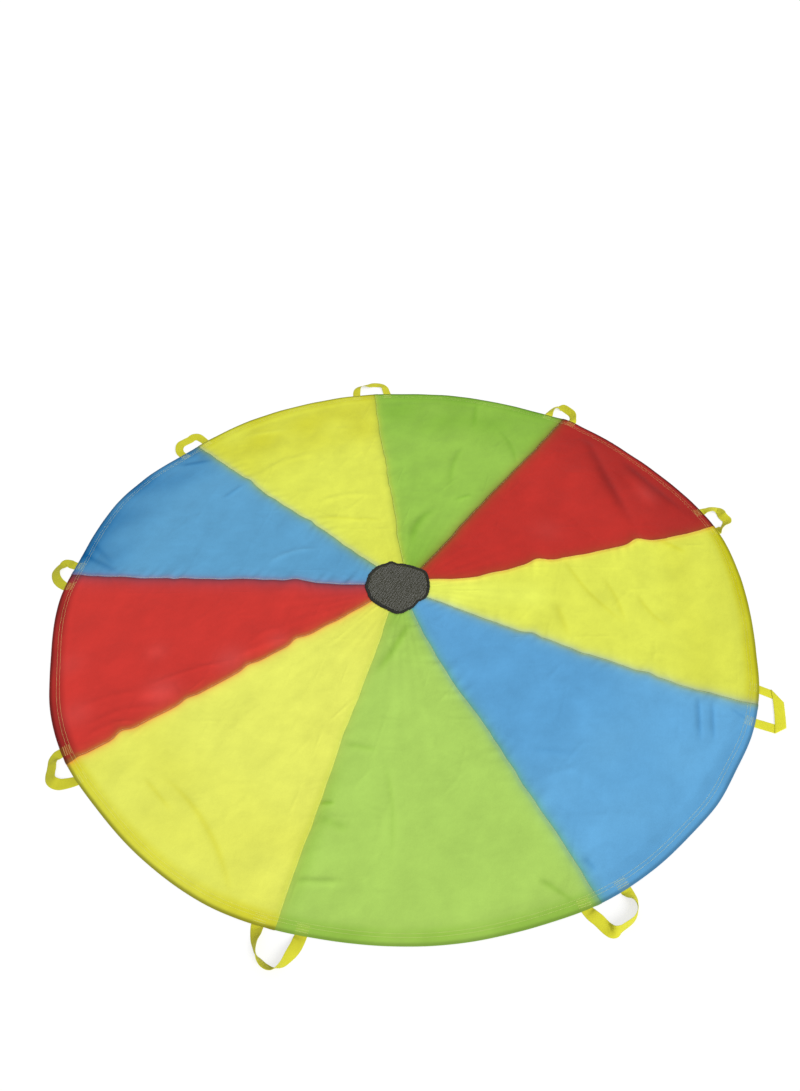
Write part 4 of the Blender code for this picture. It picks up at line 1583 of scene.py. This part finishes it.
@dataclass
class Handle:
    """A strap whose two ends run in under the hem, and the tacks that hold them."""

    plan: ClothPlan
    strap: Strap
    middle_angle: float
    width: float = 25 * MM
    thick: float = 1.2 * MM
    sewn_length: float = 22 * MM
    stations: int = 150
    fold_gap: float = 0.25 * MM
    tack_insets_mm: tuple[float, ...] = (7, 11.5, 20)
    tack_length: float = 27 * MM
    tack_points: int = 28
    foot_rows: int = 12
    leg_rows: int = 40
    turn_rows: int = 7

    def ray(self) -> float:
        """Give the plain angle of the handle's seam."""
        return self.plan.ray(self.strap.number)

    def to_world(self, local: np.ndarray) -> np.ndarray:
        """Turn places beside the rim into world places.

        Sideways places bend with the rim, and distances start at the real rim,
        with its bumps.

        Args:
            local: Sideways anticlockwise, distance beyond the rim, and height.

        Returns:
            World points.
        """
        plan = self.plan
        angle = self.ray() + local[..., 0] / plan.rim
        out = plan.rim + plan.rim_reach(angle) + local[..., 1]
        bent = np.clip(1 - local[..., 1] / plan.rim, 0.9, 1.1)
        angle = self.ray() + local[..., 0] / plan.rim * bent
        return np.stack([out * np.cos(angle), out * np.sin(angle), local[..., 2]], axis=-1)

    def foot_height(self, sideways: float, inwards: np.ndarray) -> np.ndarray:
        """Give the height of a strap's middle where it lies under the hem.

        Args:
            sideways: The foot's place along the rim.
            inwards: Distances in from the rim.

        Returns:
            The height at each distance.
        """
        plan = self.plan
        angle = np.full(len(inwards), self.ray() + sideways / plan.rim)
        under = plan.height(plan.rim - inwards, angle) - 2 * plan.hem_turn
        return np.maximum(under - 0.3 * MM - self.thick / 2, self.thick / 2 + 0.05 * MM)

    def looped(self) -> tuple[np.ndarray, np.ndarray, np.ndarray]:
        """Lay the strap along a smooth line with its roll.

        The height of its middle is the least height, plus half the width times the
        sine of the roll and half the thickness times its cosine.

        Returns:
            Its middles, its width ways towards the inside of the loop, and normals.
        """
        table = np.array(self.strap.points, dtype=float)
        place = table[:, :2] * MM
        knots = np.concatenate([[0.0], np.cumsum(np.linalg.norm(np.diff(place, axis=0), axis=1))])
        at = np.linspace(0.0, knots[-1], self.stations)
        side, beyond, low, roll_deg = curve_through(knots, table, at).T
        side, beyond, low = side * MM, beyond * MM, np.maximum(low, 0.0) * MM
        roll = np.radians(roll_deg + 2.5 * Ripple(300 + self.strap.number, 0.05).at(at, 0.0))
        roll = roll * smoothstep(0.0, 12 * MM, np.minimum(at, at[-1] - at))
        clear = self.width / 2 * np.abs(np.sin(roll)) + self.thick / 2 * np.abs(np.cos(roll))
        rows = self.foot_rows
        inwards = np.linspace(self.sewn_length, 0.5 * MM, rows)
        first, last = side[0], side[-1]
        foot_first, foot_last = self.foot_height(first, inwards), self.foot_height(last, inwards)
        near_first = 1 - smoothstep(0.0, 16 * MM, at)
        near_last = 1 - smoothstep(0.0, 16 * MM, at[-1] - at)
        flat = 0.15 * MM + low
        high = clear + flat * (1 - near_first - near_last)
        high = high + near_first * (foot_first[-1] - self.thick / 2)
        high = high + near_last * (foot_last[-1] - self.thick / 2)
        local = np.stack([side, beyond, high], axis=1)
        start = np.stack([np.full(rows, first), -inwards, foot_first], axis=1)
        end = np.stack([np.full(rows, last), -inwards, foot_last], axis=1)[::-1]
        middles = self.to_world(np.concatenate([start, local[1:-1], end]))
        roll = np.concatenate([np.zeros(rows), roll[1:-1], np.zeros(rows)])[:, None]
        heading = unit(np.gradient(middles, axis=0))
        flat = unit(np.cross(heading, UP))
        up = np.cross(flat, heading)
        across = flat * np.cos(roll) + up * np.sin(roll)
        return middles, across, np.cross(across, heading)

    def folded(self) -> tuple[np.ndarray, np.ndarray, np.ndarray]:
        """Lay the strap flat, turned over on a diagonal at each corner.

        A fold runs along the sum of the headings before and after it, and the strap
        goes round it through half a turn, up onto its own leg or down off it.

        Returns:
            Its middles, its width ways towards the inside of the loop, and normals.
        """
        corners = np.array(self.strap.points, dtype=float)[:, :2] * MM
        bend = (self.thick + self.fold_gap) / 2
        low = self.thick / 2 + 0.15 * MM
        line = corners.copy()
        line[[0, -1], 1] = -self.sewn_length
        headings = unit(np.diff(line, axis=0))
        share = np.linspace(0.0, 1.0, self.leg_rows)[:, None]
        inwards = np.linspace(self.sewn_length, 0, self.leg_rows)
        half_turn = np.linspace(0.0, math.pi, self.turn_rows + 2)[1:-1]
        levels = [low, low + 2 * bend, low]
        faces_up = [1.0, -1.0, 1.0]
        middles, across, normals = [], [], []
        for leg in range(3):
            start, end = line[leg], line[leg + 1]
            heading = headings[leg]
            left = np.array([-heading[1], heading[0]])
            cuts = []
            for corner in (leg - 1, leg):
                if corner in (0, 1):
                    crease = unit(headings[corner] + headings[corner + 1])
                    cuts.append(crease / abs(crease @ left) * np.sign(crease @ left))
                else:
                    cuts.append(left)
            ways = cuts[0] * (1 - share) + cuts[1] * share
            places = start + (end - start) * share
            high = np.full(self.leg_rows, levels[leg])
            if leg in (0, 2):
                foot = self.foot_height(start[0] if leg == 0 else end[0], inwards)
                beyond = smoothstep(0.0, 14 * MM, places[:, 1])
                high = foot[-1] + (high - foot[-1]) * beyond
            middles.append(np.column_stack([places, high]))
            across.append(np.column_stack([ways, np.zeros(self.leg_rows)]))
            normals.append(np.tile([0.0, 0.0, faces_up[leg]], (self.leg_rows, 1)))
            if leg < 2:
                out = unit(headings[leg] - headings[leg + 1])
                turns = half_turn if leg == 0 else half_turn[::-1]
                rise = low + bend - bend * np.cos(turns)
                shift = out[None, :] * (bend * np.sin(turns))[:, None]
                middles.append(np.column_stack([end + shift, rise]))
                across.append(np.tile([*cuts[1], 0.0], (self.turn_rows, 1)))
                tilt = -out[None, :] * np.sin(turns)[:, None]
                normals.append(np.column_stack([tilt, np.cos(turns)]))
        middles, across, normals = (np.concatenate(parts) for parts in (middles, across, normals))
        world = self.to_world(middles)
        across = (self.to_world(middles + across * MM) - world) / MM
        normals = self.to_world(middles + normals * MM) - world
        return world, across, unit(normals)

    def build(self, finish: bpy.types.Material) -> bpy.types.Object:
        """Make the strap, and bend it at the hem between the canopy and the loop.

        Args:
            finish: The webbing's material.

        Returns:
            The piece.
        """
        lay = self.folded if self.strap.shape is Shape.FOLDED else self.looped
        middles, across, normals = lay()
        half, thick = self.width / 2, self.thick / 2
        edge = [(1, 0), (0.985, 0.6), (0.94, 0.95), (0.5, 1), (0, 1)]
        shares = edge + [(-x, y) for x, y in edge[-2:0:-1]]
        shares += [(-x, -y) for x, y in shares]
        outline = np.array(shares) * [half, thick]
        rings = tube_rings(middles, across, normals, outline)
        rows, sides = rings.shape[:2]
        faces = grid_faces(rows, sides, ring=True)[:, ::-1].tolist()
        faces += [list(range(sides)), list(range(rows * sides - 1, (rows - 1) * sides - 1, -1))]
        steps = np.linalg.norm(np.diff(middles, axis=0), axis=1)
        along = np.concatenate([[0.0], np.cumsum(steps)])
        uv = np.stack([np.broadcast_to(outline[:, 0], (rows, sides)),
                       np.broadcast_to(along[:, None], (rows, sides))], axis=-1)
        number = self.strap.number
        piece = make_piece(f"strap_{number}", rings, faces, finish, uv)
        # Painted light and shade for this strap, as one brightness for all its points.
        painted_light = piece.data.attributes.new("webbing_painted_light", "FLOAT_COLOR", "POINT")
        values = np.full(4 * rows * sides, STRAP_PAINTED_LIGHT[number - 1], dtype=np.float32)
        painted_light.data.foreach_set("color", values)
        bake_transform(piece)
        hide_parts(f"handle_{number}", f"handle_{number}_sewn_end_left",
                    f"handle_{number}_sewn_end_right")
        return piece

    def tacks(self, finish: bpy.types.Material) -> bpy.types.Object:
        """Sew the strap's ends down with short rows along the hem, back and forth.

        Args:
            finish: The thread's material.

        Returns:
            The piece.
        """
        plan = self.plan
        paths, breaks = [], []
        for foot in plan.feet[2 * self.strap.number - 2 : 2 * self.strap.number]:
            for row, inset_mm in enumerate(self.tack_insets_mm):
                inset = inset_mm * MM
                half = self.tack_length / 2 / plan.rim
                way = 1 if row % 2 == 0 else -1
                angle = foot + way * np.linspace(-half, half, self.tack_points)
                slant = np.linspace(-0.5, 0.5, self.tack_points) * MM * way
                paths.append(plan.surface(plan.rim - inset + slant, angle, 0.16 * MM))
                breaks += [False] * (self.tack_points - 1) + [True]
        path = np.concatenate(paths)
        sewing = Sewing(pitch=2.6 * MM, gap=0.3 * MM, radius=0.3 * MM)
        name = f"strap_tacks_{self.strap.number}"
        piece = sewing.build(name, path, finish, np.array(breaks[:-1]))
        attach(piece, "canopy")
        return piece


# Floor, light and camera

@dataclass(frozen=True)
class Studio:
    """A pale floor, soft even light, and a camera at a standing adult's eyes."""

    eye: tuple[float, float, float] = (-2.56 * MM, -1.49378, 1.64378)
    look_down_deg: float = 44.74
    roll: float = -0.0231
    lens_mm: float = 27.305
    sensor_mm: float = 36.0
    floor_half: float = 30.0
    floor_drop: float = 0.3 * MM
    sky: float = 0.50
    sun: float = 2.3
    sun_angle_deg: float = 30.0
    sun_from: tuple[float, float, float] = (0.44, -0.55, 0.71)

    def camera(self) -> None:
        """Set the camera at its place, tilted down and rolled a little."""
        down = math.radians(self.look_down_deg)
        forward = Vector((0.0, math.cos(down), -math.sin(down)))
        right, up = Vector((1.0, 0.0, 0.0)), Vector((0.0, math.sin(down), math.cos(down)))
        cosine, sine = math.cos(self.roll), math.sin(self.roll)
        axes = Matrix((right * cosine + up * sine, up * cosine - right * sine, -forward))
        data = bpy.data.cameras.new("eye")
        data.lens = self.lens_mm
        data.sensor_width = self.sensor_mm
        data.clip_end = 200.0
        camera = bpy.data.objects.new("eye", data)
        camera.matrix_world = Matrix.Translation(self.eye) @ axes.transposed().to_4x4()
        bpy.context.scene.collection.objects.link(camera)
        bpy.context.scene.camera = camera

    def floor(self) -> None:
        """Lay the floor: a white diffuse sheet that the camera sees nearer to white."""
        board = Board("pale_floor")
        path = board.add("ShaderNodeLightPath").outputs
        seen = board.sums("MAXIMUM", path["Is Camera Ray"], path["Is Glossy Ray"])
        seen = board.sums("MAXIMUM", seen, path["Is Transmission Ray"])
        diffuse = board.add("ShaderNodeBsdfDiffuse", {"Color": (0.86, 0.86, 0.86, 1.0)})
        glow = board.add("ShaderNodeEmission", {"Color": (1.0, 1.0, 1.0, 1.0), "Strength": 1.12})
        share = board.sums("MULTIPLY", seen, 0.62)
        parts = {0: share, 1: diffuse.outputs[0], 2: glow.outputs[0]}
        lit = board.add("ShaderNodeMixShader", parts)
        back = board.add("ShaderNodeNewGeometry").outputs["Backfacing"]
        clear = board.add("ShaderNodeBsdfTransparent").outputs[0]
        both = board.add("ShaderNodeMixShader", {0: back, 1: lit.outputs[0], 2: clear})
        board.tree.links.new(both.outputs[0], board.output.inputs[0])
        half = self.floor_half
        corners = np.array([(-half, -half), (half, -half), (half, half), (-half, half)])
        points = np.column_stack([corners, np.full(4, -self.floor_drop)])
        make_piece("floor", points, [[0, 1, 2, 3]], board.material)

    def light(self) -> None:
        """Light from a white sky and one broad, soft sun, so that colours show as written."""
        world = bpy.data.worlds.new("sky")
        world.use_nodes = True
        nodes, links = world.node_tree.nodes, world.node_tree.links
        sky = nodes["Background"]
        sky.inputs["Color"].default_value = (1.0, 1.0, 1.0, 1.0)
        path = nodes.new("ShaderNodeLightPath")
        strength = nodes.new("ShaderNodeMapRange")
        strength.inputs[3].default_value = self.sky
        strength.inputs[4].default_value = 1.0
        links.new(path.outputs["Is Camera Ray"], strength.inputs["Value"])
        links.new(strength.outputs[0], sky.inputs["Strength"])
        bpy.context.scene.world = world
        data = bpy.data.lights.new("soft_sun", "SUN")
        data.energy = self.sun
        data.angle = math.radians(self.sun_angle_deg)
        lamp = bpy.data.objects.new("soft_sun", data)
        lamp.rotation_mode = "QUATERNION"
        lamp.rotation_quaternion = Vector(self.sun_from).to_track_quat("Z", "Y")
        bpy.context.scene.collection.objects.link(lamp)

    def build(self) -> None:
        """Set up the whole studio."""
        bpy.context.scene.view_settings.view_transform = "Standard"
        self.camera()
        self.floor()
        self.light()


# The whole parachute

# Each gore's slot name, dye and shading, clockwise from the first seam. A colour's second dye is
# painted light or shade, and the shading's hub, rim and fold depths are painted shade.
GORES = (
    ("green", Dye.GREEN, Shading(0.5, 0.45, 300, 115, 0.3, 0.5)),
    ("red", Dye.RED, Shading(0.0, 0.38, 235, 75, 0.1, 0.72)),
    ("yellow", Dye.YELLOW, Shading(-0.4, 0.2, 265, 135, 0.9, 0.45)),
    ("blue", Dye.BLUE, Shading(-0.05, -0.25, 395, 215, 0.2, 0.42)),
    ("green", Dye.GREEN_LIT, Shading(0.4, 0.0, 150, 50, 0.65, 0.35)),
    ("yellow", Dye.YELLOW_LIT, Shading(0.2, 0.15, 295, 165, 0.6, 0.6)),
    ("red", Dye.RED_LIT, Shading(0.0, -0.06, 125, 75, 0.8, 0.62)),
    ("blue", Dye.BLUE_SHADED, Shading(0.15, 0.55, 190, 20, 0.15, 0.4)),
    ("yellow", Dye.YELLOW, Shading(0.15, 0.62, 365, 115, 0.4, 0.55)),
)
WEBBING = Tint(226, 224, 54)


def build_parachute() -> None:
    """Build the canopy, its sewing, the centre and the nine handles."""
    taffeta = FabricFinish("taffeta").build()
    webbing = WebbingFinish("webbing", WEBBING, Tint(196, 192, 34)).build()
    lime = ThreadFinish("lime_thread", Tint(236, 238, 150)).build()
    black = ThreadFinish("black_thread", Tint(52, 52, 50)).build()
    net = FabricFinish("net", Tint(65, 65, 54), thread=0.9 * MM, weave_depth=0.1 * MM,
                       crinkle_depth=0.1 * MM, roughness=0.85, gloss=0.12, sheen=0.0).build()
    tape = FabricFinish("tape", Tint(46, 46, 42), thread=0.8 * MM, weave_depth=0.1 * MM,
                        crinkle_scale=240.0, roughness=0.85, gloss=0.12).build()
    plan = ClothPlan(node_reach("gore_1_green"), node_reach("centre_binding"))
    ends = [(strap.number, strap.points[end][0]) for strap in STRAPS for end in (0, -1)]
    feet = tuple(plan.ray(number) + side * MM / plan.rim for number, side in ends)
    plan = replace(plan, feet=feet)
    planes = RisePlanes(plan)
    places = [joint["pos_m"] for joint in frame["joints"] if joint["type"] == "hinge"]
    angles = [math.atan2(place[1], place[0]) for place in places]
    handles = [Handle(plan, strap, angle) for strap, angle in zip(STRAPS, angles)]
    for index, (colour, dye, shading) in enumerate(GORES):
        before, after = GORES[index - 1][1], GORES[(index + 1) % len(GORES)][1]
        gore = Gore(plan, index + 1, colour, dye, before, after, shading, Handle.width, WEBBING)
        piece = gore.build(taffeta, planes)
        LOG.info("laid %s with %d points", piece.name, len(piece.data.vertices))
    CanopySewing(plan).build(lime, planes)
    centre = Centre(plan)
    for piece in (centre.net(net), centre.tape(tape), centre.thread(black)):
        LOG.info("set %s with %d points", piece.name, len(piece.data.vertices))
    for handle in handles:
        piece = handle.build(webbing)
        handle.tacks(lime)
        LOG.info("sewed on %s, %s", piece.name, handle.strap.shape.value)


def main() -> None:
    """Build everything."""
    logging.basicConfig(level=logging.INFO, format="%(message)s")
    Studio().build()
    build_parachute()


if __name__ == "__main__":
    main()
